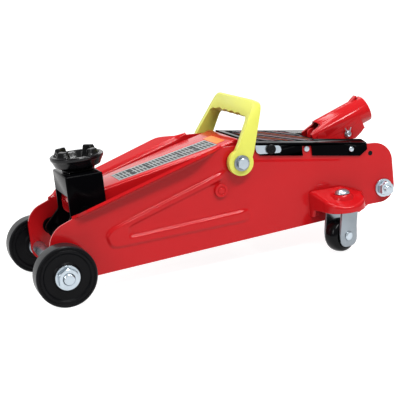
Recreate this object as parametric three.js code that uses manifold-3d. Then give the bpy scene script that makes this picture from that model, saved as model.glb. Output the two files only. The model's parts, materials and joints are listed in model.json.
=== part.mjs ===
// Low-profile two-tonne hydraulic trolley jack, built as separate solids in millimetres.
// Working axes: +X runs from the saddle end to the pump end, +Z is up, and the left side is -Y.
// X = 0 is the front axle and Z = 0 is the floor, until the last section centres the jack on its box.
import * as THREE from 'three';
import { mergeVertices } from 'three/addons/utils/BufferGeometryUtils.js';
import Module from 'manifold-3d';

const wasm = await Module();
wasm.setup();

// ---------- Driving sizes ----------

// Gap left between faces that touch on the real jack, and the radial play of turning fits.
const seatGap = 0.3;
const runningGap = 0.3;

// Side plates
const sheet = 3.0;
const plateFrontX = -8.0;
const plateRearX = 376.3;
const plateBottomZ = 17.0;
const plateBottomSlope = 0.041;
const shoulderX = 18.0;
const shoulderZ = 80.5;
const bendSlope = 0.278;
const bendEndX = 183.0;
const flangeTilt = 0.3;
const flangeWideX = 147.0;
const flangeFrontWidth = 13.0;
const flangeWidth = 19.5;
const ribHeight = 1.7;
const plateHoleX = 350.7;
const plateHoleZ = 92.8;
const plateHoleRadius = 3.0;
const noseRise = 54.0;
const stepBack = 39.0;
const heelDrop = 15.5;

// Front axle and wheels
const axleZ = 30.8;
const axleRadius = 7.0;
const wheelRadius = axleZ;
const wheelWidth = 21.2;
const spacerLength = 6.6;
const spacerRadius = 9.5;
const wheelRecess = 1.6;
const axleWasherRadius = 12.5;
const axleWasherThickness = 1.6;
const axleNutFlats = 19.0;
const axleNutThickness = 5.5;
const axleTipRadius = 5.5;
const axleTip = 2.5;

// Lift linkage: the arm turns on the pivot shaft and the level links turn on the link pivots
const pivotX = 198.5;
const pivotZ = 108.8;
const pivotShaftRadius = 9.0;
const bracketPinX = 37.7;
const bracketPinZ = 80.6;
const bracketPinRadius = 4.0;
const linkPivotX = 176.2;
const linkPivotZ = 82.3;
const linkPivotRadius = 6.0;
const linkPivotHead = 1.4;
const linkPivotHeadRadius = 7.0;
const linkPinRadius = 4.5;
const linkThickness = 5.0;
const linkHeight = 14.0;
const linkEyeRadius = 9.0;
const linkGap = 2.5;
const pivotCollar = 5.3;
const bracketPinHead = 5.5;
const pinHead = 2.0;

// Lift arm
const armWall = 4.0;
const armFrontHalfWidth = 27.0;
const armRearHalfWidth = 42.5;
const armTaperStartX = 64.0;
const armTaperEndX = 175.0;
const armTopZAtPivot = 128.0;
const armTopSlope = 0.226;
const armRearX = 212.0;
const armNose = 11.2;
const crankRadius = 42.0;
const crankRestAngle = THREE.MathUtils.degToRad(41);
const crankPinRadius = 5.0;
const crankLobe = 11.5;
const crankPinProud = 1.0;

// Saddle bracket and saddle
const bracketFrontX = 22.3;
const bracketRearX = 60.9;
const bracketHalfWidth = 31.0;
const bracketSheet = 3.5;
const bracketTopZ = 118.0;
const bracketApron = 21.0;
const saddleX = 43.4;
const saddleRimRadius = 28.0;
const saddleHeight = 16.9;
const saddleStemRadius = 9.0;
const saddleFloorDrop = 8.0;
const lugHeight = 6.0;
const saddleRim = 4.0;
const saddleNeckRadius = 17.0;
const saddleStemLength = 10.0;
const lugWidth = 14.0;
const lugInnerRadius = 17.5;
const lugCount = 4;
const lugTurn = THREE.MathUtils.degToRad(38);

// Carry handle
const eyeRadius = 13.4;
const handleLean = THREE.MathUtils.degToRad(27.1);
const handleReach = 66.0;
const gripDepth = 19.0;
const gripThickness = 8.4;
const handleLegThickness = 8.0;
const handleGap = 2.0;
const handleTopInset = 12.0;
const handleShoulder = 4.0;
const handleBoltRadius = 5.0;
const handleBoltDepth = 14.0;
const handleBoltFlats = 11.0;
const handleBoltHead = 4.2;
const handleWasherRadius = 8.3;
const handleWasherThickness = 1.5;
const handleLegHalf = 10.4;
const gripCorner = 11.0;
const gripFillet = 6.0;
const gripEdgeRadius = 3.0;
const gripRipples = 4;
const gripRippleDepth = 2.0;

// Cover
const coverSheet = 1.3;
const coverFrontX = 218.6;
const coverRearX = 346.5;
const coverRearSweep = 10.0;
const coverTopZAtPivot = 129.1;
const coverSlope = -0.16;
const coverFlangeDepth = 14.5;
const coverFrontSweep = 4.5;
const coverMouthX = 300.0;
const coverMouthHalfWidth = 27.0;
const coverMouthRadius = 8.0;
const springRodX = 276.6;
const springRodZ = 109.6;
const springRodRadius = 3.0;
const springRodNotch = 11.0;
const bumperX = 235.2;
const bumperZ = 116.3;
const bumperRadius = 5.2;
const bumperThickness = 3.5;
const coverScrewX = 327.6;
const coverScrewZ = 101.2;
const coverScrewRadius = 2.0;
const coverScrewHead = 3.0;

// Power unit
const ramZ = 72.0;
const cylinderRadius = 20.0;
const cylinderFrontX = 246.0;
const cylinderRearX = 318.0;
const tankRadius = 31.0;
const tankFrontX = 252.0;
const rodRadius = 10.0;
const ramHeadLength = 10.0;
const ramHeadHalfWidth = 22.0;
const ramHeadHalfHeight = 16.0;
const ramLead = 1.25;
const rodRearX = 312.0;
const tankWall = 3.0;
const fillerX = 284.0;
const fillerRadius = 4.0;
const blockRearX = 372.0;
const blockBottomZ = 40.0;
const blockTopZ = 88.0;
const rearBoltX = 363.0;
const rearBoltZ = 52.5;
const rearBoltRadius = 6.0;
const rearBoltFlats = 14.0;
const rearBoltHead = 8.0;
const rearBoltTip = 3.0;
const rearBoltTipRadius = 4.0;
const rearBoltDepth = 20.0;
const rearWasherRadius = 10.0;
const rearWasherThickness = 1.8;
const valveZ = 64.0;
const valveRadius = 5.5;
const valveLength = 13.0;
const valveSeat = 16.0;
const valveY = 20.0;

// Pump: the handle socket turns on the pump pivot and works the plunger
const pumpPivotX = 315.0;
const pumpPivotZ = 111.5;
const pumpPinX = 346.8;
const pumpPinZ = 109.6;
const pumpPinRadius = 3.0;
const pumpPinHead = 4.0;
const pumpPivotRadius = 4.0;
const pumpPivotHead = 5.5;
const pumpStroke = THREE.MathUtils.degToRad(35);
const plungerBottomZ = 66.0;
const plungerSlotPlay = 0.6;
const plungerRadius = 6.0;
const pumpBarrelRadius = 10.0;
const pumpBarrelTopZ = 97.0;
const lugSheet = 4.0;
const lugOuterY = 8.5;
const socketRadius = 15.0;
const earSheet = 3.0;
const socketTilt = THREE.MathUtils.degToRad(18.55);
const socketEndX = 376.8;
const socketEndZ = 132.4;
const socketLength = 76.0;
const socketRing = 14.0;
const earReach = 11.0;
const earBottomZ = 102.0;
const tabLength = 7.0;
const tabHalfWidth = 3.5;
const tabLift = 3.2;

// Return springs
const springInset = 5.0;
const springRadius = 4.0;
const springWire = 1.0;
const springTurns = 9;

// Casters
const stemX = 302.2;
const stemOut = 23.7;
const stemRadius = 5.0;
const casterRadius = 18.0;
const casterWidth = 17.5;
const casterTrail = 8.0;
const casterTurn = THREE.MathUtils.degToRad(20);
const forkSheet = 2.5;
const forkTopZ = 48.0;
const forkTopRadius = 18.0;
const forkLobe = 11.5;
const bracketNose = 23.0;
const casterBracketRootZ = 65.0;
const casterBracketDrop = 0.31;
const casterBracketSkirtZ = 44.0;
const casterBracketLegZ = 36.0;
const casterBracketFrontX = 274.0;
const casterBracketBackX = 338.0;
const casterBracketPeakX = 311.0;
const casterBracketRearDrop = 13.0;
const casterSheet = 3.0;
const casterBossRadius = 9.0;
const casterBossZ = 60.3;
const capRadius = 8.0;
const casterSideGap = 1.0;
const casterAxleRadius = 3.0;

// ---------- Places that follow from the driving sizes ----------

const linkInnerY = armRearHalfWidth + linkGap;
const linkOuterY = linkInnerY + linkThickness;
const plateInnerY = linkOuterY + pivotCollar;
const plateOuterY = plateInnerY + sheet;
const wheelInnerY = plateOuterY + spacerLength;
const springY = armRearHalfWidth - armWall - springInset;
const stemY = plateOuterY + stemOut;
const socketEarInnerY = socketRadius - earSheet;
const pumpReach = Math.hypot(pumpPinX - pumpPivotX, pumpPinZ - pumpPivotZ);
const pumpRestAngle = Math.atan2(pumpPinZ - pumpPivotZ, pumpPinX - pumpPivotX);
const plungerSlot = pumpReach * (1 - Math.cos(pumpRestAngle + pumpStroke));
const plungerX = pumpPivotX + pumpReach - plungerSlot / 2;
const bendZ = (x) => shoulderZ + bendSlope * (x - shoulderX);
const armTopZ = (x) => armTopZAtPivot + armTopSlope * (x - pivotX);
const coverTopZ = (x) => coverTopZAtPivot + coverSlope * (x - pivotX);
const plateTopUnderCover = (x) => coverTopZ(x) - coverSheet - seatGap;
const linkPinX = bracketPinX + linkPivotX - pivotX;
const linkPinZ = bracketPinZ + linkPivotZ - pivotZ;
const crankX = pivotX + crankRadius * Math.sin(crankRestAngle);
const crankZ = pivotZ - crankRadius * Math.cos(crankRestAngle);
const wheelOuterY = wheelInnerY + wheelWidth;
const handleInnerY = plateOuterY + handleGap;
const handleOuterY = handleInnerY + handleLegThickness;
const saddleSeatZ = bracketTopZ + seatGap;
const casterTopZ = (x, y) => {
  const rearward = Math.max(0, x - casterBracketPeakX) / (casterBracketBackX - casterBracketPeakX);
  const inward = Math.max(0, 1 - (y - plateOuterY) / stemOut);
  const slope = casterBracketDrop * (y - plateOuterY);
  return casterBracketRootZ - slope - casterBracketRearDrop * rearward * inward;
};

// ---------- Solids and booleans ----------

function solid(geometry) {
  const bare = geometry.clone();
  bare.deleteAttribute('normal');
  bare.deleteAttribute('uv');
  const merged = mergeVertices(bare, 1e-5);
  return new wasm.Manifold(new wasm.Mesh({
    numProp: 3,
    vertProperties: new Float32Array(merged.attributes.position.array),
    triVerts: new Uint32Array(merged.index.array),
  }));
}

function join(...parts) {
  return parts.reduce((whole, part) => whole.add(part));
}

function cut(whole, ...tools) {
  return tools.reduce((left, tool) => left.subtract(tool), whole);
}

function geometryOf(manifold) {
  const mesh = manifold.getMesh();
  const geometry = new THREE.BufferGeometry();
  geometry.setAttribute('position', new THREE.Float32BufferAttribute(mesh.vertProperties, 3));
  geometry.setIndex(Array.from(mesh.triVerts));
  geometry.computeVertexNormals();
  return geometry;
}

// Mirrors a right-hand (+Y) solid for the left side.
function mirrored(manifold) {
  const geometry = geometryOf(manifold).scale(1, -1, 1);
  const index = geometry.index.array;
  for (let i = 0; i < index.length; i += 3) {
    const swap = index[i + 1];
    index[i + 1] = index[i + 2];
    index[i + 2] = swap;
  }
  return solid(geometry);
}

function box(x0, x1, y0, y1, z0, z1) {
  const geometry = new THREE.BoxGeometry(x1 - x0, y1 - y0, z1 - z0);
  return solid(geometry.translate((x0 + x1) / 2, (y0 + y1) / 2, (z0 + z1) / 2));
}

// Round bar along Y.
function barY(x, z, radius, y0, y1, sides = 20) {
  const geometry = new THREE.CylinderGeometry(radius, radius, y1 - y0, sides);
  return solid(geometry.translate(x, (y0 + y1) / 2, z));
}

// Round bar along Z.
function barZ(x, y, radius, z0, z1, sides = 20) {
  const geometry = new THREE.CylinderGeometry(radius, radius, z1 - z0, sides);
  return solid(geometry.rotateX(Math.PI / 2).translate(x, y, (z0 + z1) / 2));
}

// Round bar along X.
function barX(y, z, radius, x0, x1, sides = 24) {
  const geometry = new THREE.CylinderGeometry(radius, radius, x1 - x0, sides);
  return solid(geometry.rotateZ(Math.PI / 2).translate((x0 + x1) / 2, y, z));
}

// Hexagonal prism along Y, sized across its flats.
function hexY(x, z, flats, y0, y1) {
  return barY(x, z, flats / Math.sqrt(3), y0, y1, 6);
}

// Outline with rounded corners, from corners given as [x, y, radius].
function roundedShape(corners) {
  const shape = new THREE.Shape();
  corners.forEach(([x, y, radius = 0], i) => {
    const before = corners[(i + corners.length - 1) % corners.length];
    const after = corners[(i + 1) % corners.length];
    const here = new THREE.Vector2(x, y);
    const inward = new THREE.Vector2(before[0], before[1]).sub(here).normalize();
    const outward = new THREE.Vector2(after[0], after[1]).sub(here).normalize();
    const half = Math.acos(THREE.MathUtils.clamp(inward.dot(outward), -1, 1)) / 2;
    const back = radius / Math.tan(half);
    const start = here.clone().addScaledVector(inward, back);
    const end = here.clone().addScaledVector(outward, back);
    if (i === 0) shape.moveTo(start.x, start.y);
    else shape.lineTo(start.x, start.y);
    if (radius > 0) shape.quadraticCurveTo(x, y, end.x, end.y);
  });
  shape.closePath();
  return shape;
}

// Plate cut to an outline in X and Z, lying between two Y values.
function plateXZ(shape, y0, y1, curveSegments = 4) {
  const options = { depth: y1 - y0, bevelEnabled: false, curveSegments };
  const geometry = new THREE.ExtrudeGeometry(shape, options);
  return solid(geometry.rotateX(Math.PI / 2).translate(0, y1, 0));
}

// Plate cut to an outline in X and Y, lying between two Z values.
function plateXY(shape, z0, z1, curveSegments = 4) {
  const geometry = new THREE.ExtrudeGeometry(shape, { depth: z1 - z0, bevelEnabled: false, curveSegments });
  return solid(geometry.translate(0, 0, z0));
}

// Moves every vertex of a solid in Z by a rule of its X and Y.
function raised(manifold, rule) {
  const geometry = geometryOf(manifold);
  const position = geometry.attributes.position;
  for (let i = 0; i < position.count; i += 1) {
    position.setZ(i, position.getZ(i) + rule(position.getX(i), position.getY(i)));
  }
  return solid(geometry);
}

// Body of revolution about Y from a closed profile of [radius, y] points.
function turnedY(profile, x, z, sides = 36) {
  const points = profile.map(([r, y]) => new THREE.Vector2(r, y));
  points.push(points[0].clone());
  return solid(new THREE.LatheGeometry(points, sides).translate(x, 0, z));
}

// Body of revolution about a vertical axis from a closed profile of [radius, z] points.
function turnedZ(profile, x, y, sides = 32) {
  const points = profile.map(([r, z]) => new THREE.Vector2(r, z));
  if (profile[0][0] > 0) points.push(points[0].clone());
  return solid(new THREE.LatheGeometry(points, sides).rotateX(Math.PI / 2).translate(x, y, 0));
}

// ---------- Finishes ----------

function finish(color, roughness, metalness) {
  return () => new THREE.MeshStandardMaterial({ color, roughness, metalness });
}

const redPaint = finish(0xd2232a, 0.32, 0.1);
const blackPaint = finish(0x111214, 0.3, 0.1);
const blackPlastic = finish(0x17181a, 0.62, 0);
const limePlastic = finish(0xe6e53c, 0.45, 0);
const zinc = finish(0xb9c1ca, 0.34, 0.85);
const steel = finish(0x8b8f94, 0.35, 0.9);
const castGrey = finish(0x50545a, 0.7, 0.4);
const springSteel = finish(0x6c7075, 0.4, 0.85);
const rubber = finish(0x1c1c1e, 0.85, 0);

const jack = new THREE.Group();

function place(name, manifold, material, carrier = jack) {
  const mesh = new THREE.Mesh(geometryOf(manifold), material());
  mesh.name = name;
  carrier.add(mesh);
}

// Places a right-hand solid and its mirror image.
function placePair(name, manifold, material) {
  place(`${name}_right`, manifold, material);
  place(`${name}_left`, mirrored(manifold), material);
}

// ---------- Side plates ----------

function plateOutline() {
  const noseZ = plateBottomZ + noseRise;
  const stepX = blockRearX - stepBack;
  const heelZ = rearBoltZ - heelDrop;
  return roundedShape([
    [plateFrontX, plateBottomZ, 12],
    [stepX, plateBottomZ + plateBottomSlope * stepX, 3],
    [stepX + 10, heelZ, 3],
    [plateRearX, heelZ, 18],
    [plateRearX, plateTopUnderCover(coverRearX) - 1.5, 20],
    [coverRearX, plateTopUnderCover(coverRearX), 0],
    [coverFrontX, plateTopUnderCover(coverFrontX), 0],
    [bendEndX, bendZ(bendEndX), 4],
    [shoulderX, shoulderZ, 0],
    [plateFrontX, noseZ, 15],
  ]);
}

// The top edge is bent outwards into a sloping stiffening flange.
function plateFlange() {
  const root = plateInnerY + sheet / 2;
  const plan = roundedShape([
    [shoulderX, root],
    [bendEndX, root],
    [bendEndX, plateOuterY],
    [flangeWideX + 14, plateOuterY + flangeWidth - 2, 6],
    [flangeWideX, plateOuterY + flangeWidth, 6],
    [shoulderX + 10, plateOuterY + flangeFrontWidth, 5],
    [shoulderX, plateOuterY, 0],
  ]);
  const rule = (x, y) => bendZ(x) + flangeTilt * Math.max(0, y - plateOuterY);
  return raised(plateXY(plan, -sheet, 0), rule);
}

// A V-shaped stiffening rib is pressed outwards in each plate, with its point to the front.
function plateRib() {
  const spread = linkPivotX - 129;
  const outer = roundedShape([
    [spread, 43.5, 7],
    [linkPivotX + 29, 48.5, 3],
    [linkPivotX + 19, 56.5, 3],
    [linkPivotX - 103, 51.5, 2],
    [linkPivotX - 23, linkPivotZ + 1.2, 3],
    [linkPivotX - 1, pivotZ - 7.8, 4],
    [spread, 62, 7],
  ]);
  return plateXZ(outer, plateOuterY - 1, plateOuterY + ribHeight);
}

function sidePlate() {
  const body = join(plateXZ(plateOutline(), plateInnerY, plateOuterY), plateFlange(), plateRib());
  const bores = [
    [0, axleZ, axleRadius],
    [pivotX, pivotZ, pivotShaftRadius],
    [linkPivotX, linkPivotZ, linkPivotRadius],
    [rearBoltX, rearBoltZ, rearBoltRadius],
    [springRodX, springRodZ, springRodRadius],
    [bumperX, bumperZ, coverScrewRadius],
    [coverScrewX, coverScrewZ, coverScrewRadius],
    [plateHoleX, plateHoleZ, plateHoleRadius],
  ];
  const drills = bores.map(([x, z, r]) => barY(x, z, r + runningGap, plateInnerY - 5, plateOuterY + 5, 24));
  return cut(body, ...drills);
}

placePair('side_plate', sidePlate(), redPaint);

// ---------- Front axle and wheels ----------

// The axle steps down to a thread outside each wheel.
function frontAxle() {
  const end = wheelOuterY + axleWasherThickness + axleNutThickness + axleTip + 2 * seatGap;
  return turnedY([
    [0, -end],
    [axleTipRadius, -end],
    [axleTipRadius, -wheelOuterY],
    [axleRadius, -wheelOuterY],
    [axleRadius, wheelOuterY],
    [axleTipRadius, wheelOuterY],
    [axleTipRadius, end],
    [0, end],
  ], 0, axleZ, 20);
}

function axleSpacer() {
  const tube = barY(0, axleZ, spacerRadius, plateOuterY + seatGap, wheelInnerY - seatGap);
  return cut(tube, barY(0, axleZ, axleRadius + seatGap, plateInnerY, wheelOuterY));
}

// Solid wheel with a shallow ring-shaped recess in each face.
function frontWheel() {
  const bore = axleRadius + runningGap;
  const hub = axleWasherRadius + 1;
  const rim = wheelRadius - 6.3;
  const chamfer = 1.2;
  return turnedY([
    [bore, wheelInnerY],
    [hub, wheelInnerY],
    [hub + 1, wheelInnerY + wheelRecess],
    [rim - 1, wheelInnerY + wheelRecess],
    [rim, wheelInnerY],
    [wheelRadius - chamfer, wheelInnerY],
    [wheelRadius, wheelInnerY + chamfer],
    [wheelRadius, wheelOuterY - chamfer],
    [wheelRadius - chamfer, wheelOuterY],
    [rim, wheelOuterY],
    [rim - 1, wheelOuterY - wheelRecess],
    [hub + 1, wheelOuterY - wheelRecess],
    [hub, wheelOuterY],
    [bore, wheelOuterY],
  ], 0, axleZ, 36);
}

function axleWasher() {
  const inner = wheelOuterY + seatGap;
  const disc = barY(0, axleZ, axleWasherRadius, inner, inner + axleWasherThickness, 28);
  return cut(disc, barY(0, axleZ, axleTipRadius + seatGap, inner - 1, inner + axleWasherThickness + 1));
}

function axleNut() {
  const inner = wheelOuterY + axleWasherThickness + 2 * seatGap;
  const hex = hexY(0, axleZ, axleNutFlats, inner, inner + axleNutThickness);
  return cut(hex, barY(0, axleZ, axleTipRadius + seatGap, inner - 1, inner + axleNutThickness + 1));
}

place('front_axle', frontAxle(), zinc);
placePair('axle_spacer', axleSpacer(), zinc);
placePair('front_wheel', frontWheel(), blackPaint);
placePair('axle_washer', axleWasher(), zinc);
placePair('axle_nut', axleNut(), zinc);

// ---------- Lift arm ----------

// Pivot shaft across both side plates, drilled and tapped at its ends for the carry-handle bolts.
function pivotShaft() {
  const end = handleInnerY - seatGap;
  const shaft = barY(pivotX, pivotZ, pivotShaftRadius, -end, end, 24);
  const tap = handleBoltDepth + 1;
  const drill = (y0, y1) => barY(pivotX, pivotZ, handleBoltRadius + seatGap, y0, y1);
  return cut(shaft, drill(end - tap, end + 1), drill(-end - 1, tap - end));
}

// Inverted channel that widens to the rear, with its side walls deepened to carry the crank pin.
function liftArm() {
  const lobeX = crankX + crankLobe;
  const side = roundedShape([
    [bracketPinX - armNose, armTopZ(bracketPinX) + 1, armNose * 0.9],
    [armRearX, armTopZ(armRearX), 8],
    [armRearX, pivotZ - 4, 6],
    [lobeX - 1, crankZ + 12, 8],
    [lobeX, crankZ - crankLobe, 9],
    [crankX - crankLobe, crankZ - crankLobe, 8],
    [pivotX - 24, pivotZ - 27, 16],
    [bracketPinX, bracketPinZ - armNose, 6],
    [bracketPinX - armNose, bracketPinZ - armNose, armNose * 0.9],
  ]);
  const outer = new THREE.Shape();
  const inner = new THREE.Shape();
  trapezoidPlan(outer, 0);
  trapezoidPlan(inner, armWall);
  const low = crankZ - 2 * crankLobe;
  const high = armTopZ(armRearX) + armWall;
  const block = plateXZ(side, -armRearHalfWidth - 1, armRearHalfWidth + 1, 6);
  const body = block.intersect(plateXY(outer, low, high));
  const under = raised(plateXY(inner, low - high, 0), (x) => armTopZ(x) - armWall);
  const bores = [
    barY(pivotX, pivotZ, pivotShaftRadius + runningGap, -100, 100, 24),
    barY(bracketPinX, bracketPinZ, bracketPinRadius + runningGap, -100, 100),
    barY(crankX, crankZ, crankPinRadius + seatGap, -100, 100),
  ];
  return cut(body, under, ...bores);
}

// Arm plan, drawn in by a wall thickness for the inside of the channel.
function trapezoidPlan(shape, wall) {
  const front = armFrontHalfWidth - wall;
  const rear = armRearHalfWidth - wall;
  const end = crankX + 2 * crankLobe;
  shape.moveTo(0, -front);
  shape.lineTo(armTaperStartX, -front);
  shape.lineTo(armTaperEndX, -rear);
  shape.lineTo(end, -rear);
  shape.lineTo(end, rear);
  shape.lineTo(armTaperEndX, rear);
  shape.lineTo(armTaperStartX, front);
  shape.lineTo(0, front);
  shape.closePath();
}

function crankPin() {
  const end = armRearHalfWidth + crankPinProud;
  return barY(crankX, crankZ, crankPinRadius, -end, end);
}

place('pivot_shaft', pivotShaft(), steel);
place('lift_arm', liftArm(), redPaint);
place('crank_pin', crankPin(), steel);

// ---------- Saddle bracket, saddle and level links ----------

// Folded bracket that straddles the nose of the arm, with a front apron.
function saddleBracket() {
  const side = roundedShape([
    [bracketFrontX, bracketTopZ, 2],
    [bracketFrontX, bracketPinZ - 5, 6],
    [linkPinX - 10.5, linkPinZ + 4, 7],
    [linkPinX - 4, linkPinZ - 11, 8],
    [linkPinX + 10, linkPinZ - 8, 8],
    [bracketPinX + 8, bracketPinZ - 14, 10],
    [bracketRearX, bracketPinZ - 2, 8],
    [bracketRearX, bracketTopZ, 2],
  ]);
  const inside = bracketHalfWidth - bracketSheet;
  const shell = plateXZ(side, -bracketHalfWidth, bracketHalfWidth);
  const hollow = box(bracketFrontX + bracketSheet, 200, -inside, inside, 0, bracketTopZ - bracketSheet);
  const belowApron = box(-50, 200, -inside, inside, 0, bracketTopZ - bracketApron);
  const bores = [
    barY(bracketPinX, bracketPinZ, bracketPinRadius + seatGap, -100, 100),
    barY(linkPinX, linkPinZ, linkPinRadius + seatGap, -100, 100),
    barZ(saddleX, 0, saddleStemRadius + runningGap, bracketTopZ - 20, bracketTopZ + 20, 24),
  ];
  return cut(shell, hollow, belowApron, ...bores);
}

// Pin with a flat head at each end, outside the faces that it holds.
function headedPin(x, z, radius, headRadius, headThickness, grip) {
  const head = grip + seatGap;
  const end = head + headThickness;
  return turnedY([
    [0, -end],
    [headRadius, -end],
    [headRadius, -head],
    [radius, -head],
    [radius, head],
    [headRadius, head],
    [headRadius, end],
    [0, end],
  ], x, z, 16);
}

// The lower pin has thick shoulders that keep the links clear of the bracket.
function linkPin() {
  const pin = headedPin(linkPinX, linkPinZ, linkPinRadius, linkPinRadius + 2.5, pinHead, linkOuterY);
  const shoulder = [bracketHalfWidth + seatGap, linkInnerY - seatGap];
  const collar = barY(linkPinX, linkPinZ, linkPinRadius + 2.5, ...shoulder);
  return join(pin, collar, mirrored(collar));
}

function levelLink() {
  const dx = linkPivotX - linkPinX;
  const dz = linkPivotZ - linkPinZ;
  const length = Math.hypot(dx, dz);
  const bar = new THREE.BoxGeometry(length, linkThickness, linkHeight);
  bar.rotateY(-Math.atan2(dz, dx));
  bar.translate(linkPinX + dx / 2, linkInnerY + linkThickness / 2, linkPinZ + dz / 2);
  const ends = [linkInnerY, linkOuterY];
  const frontEye = barY(linkPinX, linkPinZ, linkEyeRadius, ...ends, 24);
  const rearEye = barY(linkPivotX, linkPivotZ, linkEyeRadius, ...ends, 24);
  const bores = [
    barY(linkPinX, linkPinZ, linkPinRadius + runningGap, 0, 100),
    barY(linkPivotX, linkPivotZ, linkPivotRadius + runningGap, 0, 100),
  ];
  return cut(join(solid(bar), frontEye, rearEye), ...bores);
}

// Stub pin fixed in the side plate, with a collar inside the plate and a low button outside.
function linkPivot() {
  const button = plateOuterY + ribHeight + seatGap;
  const collar = linkOuterY + seatGap;
  return turnedY([
    [0, linkInnerY - 0.4],
    [linkPivotRadius, linkInnerY - 0.4],
    [linkPivotRadius, collar],
    [linkEyeRadius, collar],
    [linkEyeRadius, plateInnerY - seatGap],
    [linkPivotRadius, plateInnerY - seatGap],
    [linkPivotRadius, button],
    [linkPivotHeadRadius, button],
    [linkPivotHeadRadius, button + linkPivotHead],
    [0, button + linkPivotHead],
  ], linkPivotX, linkPivotZ, 20);
}

// Dished saddle with lugs on its rim, turning on a stem in the bracket.
function saddle() {
  const rimZ = saddleSeatZ + saddleHeight;
  const floorZ = rimZ - saddleFloorDrop;
  const bowl = turnedZ([
    [0, saddleSeatZ - saddleStemLength],
    [saddleStemRadius, saddleSeatZ - saddleStemLength],
    [saddleStemRadius, saddleSeatZ],
    [saddleNeckRadius, saddleSeatZ],
    [saddleNeckRadius, saddleSeatZ + 2.2],
    [saddleRimRadius - 4, saddleSeatZ + 5.2],
    [saddleRimRadius - 0.8, rimZ - 5.5],
    [saddleRimRadius, rimZ - 3.5],
    [saddleRimRadius, rimZ],
    [saddleRimRadius - saddleRim, rimZ],
    [saddleRimRadius - saddleRim - 1.5, floorZ],
    [0, floorZ],
  ], saddleX, 0, 40);
  const lugs = Array.from({ length: lugCount }, (unused, i) => {
    const outline = roundedShape([
      [-lugWidth / 2, floorZ - 1],
      [lugWidth / 2, floorZ - 1],
      [lugWidth / 2, rimZ + lugHeight, 4],
      [-lugWidth / 2, rimZ + lugHeight, 4],
    ]);
    const lug = geometryOf(plateXZ(outline, lugInnerRadius, saddleRimRadius - saddleRim + 1));
    lug.rotateZ(lugTurn + (i * 2 * Math.PI) / lugCount);
    return solid(lug.translate(saddleX, 0, 0));
  });
  return join(bowl, ...lugs);
}

place('saddle_bracket', saddleBracket(), blackPaint);
const bracketPin = headedPin(bracketPinX, bracketPinZ, bracketPinRadius, bracketPinHead, pinHead,
  bracketHalfWidth);
place('bracket_pin', bracketPin, blackPaint);
place('link_pin', linkPin(), blackPaint);
placePair('level_link', levelLink(), blackPaint);
placePair('link_pivot', linkPivot(), redPaint);
place('saddle', saddle(), blackPaint);

// ---------- Carry handle ----------

// Drawn standing upright on the pivot; its group leans it to the rear.
function carryHandle() {
  const gripZ = handleReach - gripDepth;
  const shoulderZ = eyeRadius + handleShoulder;
  const taper = handleTopInset / (handleReach - shoulderZ);
  const outerAt = (z) => handleOuterY - taper * (z - shoulderZ);
  const innerAt = (z) => outerAt(z) - handleLegThickness;
  const cornerZ = handleReach - gripCorner;
  const topEnd = outerAt(handleReach) - gripCorner;
  const gripEnd = innerAt(gripZ) - gripFillet;
  const front = new THREE.Shape();
  front.moveTo(handleOuterY, -2 * eyeRadius);
  front.lineTo(handleOuterY, shoulderZ);
  front.lineTo(outerAt(cornerZ), cornerZ);
  front.quadraticCurveTo(outerAt(handleReach), handleReach, topEnd, handleReach);
  front.lineTo(-topEnd, handleReach);
  front.quadraticCurveTo(-outerAt(handleReach), handleReach, -outerAt(cornerZ), cornerZ);
  front.lineTo(-handleOuterY, shoulderZ);
  front.lineTo(-handleOuterY, -2 * eyeRadius);
  front.lineTo(-handleInnerY, -2 * eyeRadius);
  front.lineTo(-handleInnerY, shoulderZ);
  front.lineTo(-innerAt(gripZ - gripFillet), gripZ - gripFillet);
  front.quadraticCurveTo(-innerAt(gripZ), gripZ, -gripEnd, gripZ);
  const span = gripEnd * 2 * 0.8;
  const pitch = span / gripRipples;
  front.lineTo(-span / 2, gripZ);
  for (let i = 0; i < gripRipples; i += 1) {
    const start = -span / 2 + i * pitch;
    front.quadraticCurveTo(start + pitch / 2, gripZ + 2 * gripRippleDepth, start + pitch, gripZ);
  }
  front.lineTo(gripEnd, gripZ);
  front.quadraticCurveTo(innerAt(gripZ), gripZ, innerAt(gripZ - gripFillet), gripZ - gripFillet);
  front.lineTo(handleInnerY, shoulderZ);
  front.lineTo(handleInnerY, -2 * eyeRadius);
  front.closePath();
  const depth = 4 * eyeRadius;
  const faceOn = new THREE.ExtrudeGeometry(front, { depth, bevelEnabled: false, curveSegments: 5 });
  faceOn.rotateX(Math.PI / 2).rotateZ(Math.PI / 2).translate(-depth / 2, 0, 0);
  const side = roundedShape([
    [-handleLegHalf, 0, 0],
    [handleLegHalf, 0, 0],
    [gripThickness / 2, handleReach, gripEdgeRadius],
    [-gripThickness / 2, handleReach, gripEdgeRadius],
  ]);
  const profile = join(
    plateXZ(side, -handleOuterY - 1, handleOuterY + 1),
    barY(0, 0, eyeRadius, -handleOuterY - 1, handleOuterY + 1, 32),
  );
  return cut(solid(faceOn).intersect(profile), barY(0, 0, handleBoltRadius + runningGap, -100, 100));
}

// Washer and hexagon bolt that hold one eye of the handle to the end of the pivot shaft.
function handleWasher() {
  const inner = handleOuterY + seatGap;
  const outer = inner + handleWasherThickness;
  const disc = barY(pivotX, pivotZ, handleWasherRadius, inner, outer, 24);
  return cut(disc, barY(pivotX, pivotZ, handleBoltRadius + seatGap, inner - 1, outer + 1));
}

function handleBolt() {
  const head = handleOuterY + handleWasherThickness + 2 * seatGap;
  const tip = handleInnerY - seatGap - handleBoltDepth;
  const shank = barY(pivotX, pivotZ, handleBoltRadius, tip, head + 1);
  return join(shank, hexY(pivotX, pivotZ, handleBoltFlats, head, head + handleBoltHead));
}

const handleFrame = new THREE.Group();
handleFrame.position.set(pivotX, 0, pivotZ);
handleFrame.rotation.y = handleLean;
jack.add(handleFrame);
place('carry_handle', carryHandle(), limePlastic, handleFrame);
placePair('handle_washer', handleWasher(), zinc);
placePair('handle_bolt', handleBolt(), zinc);

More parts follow.
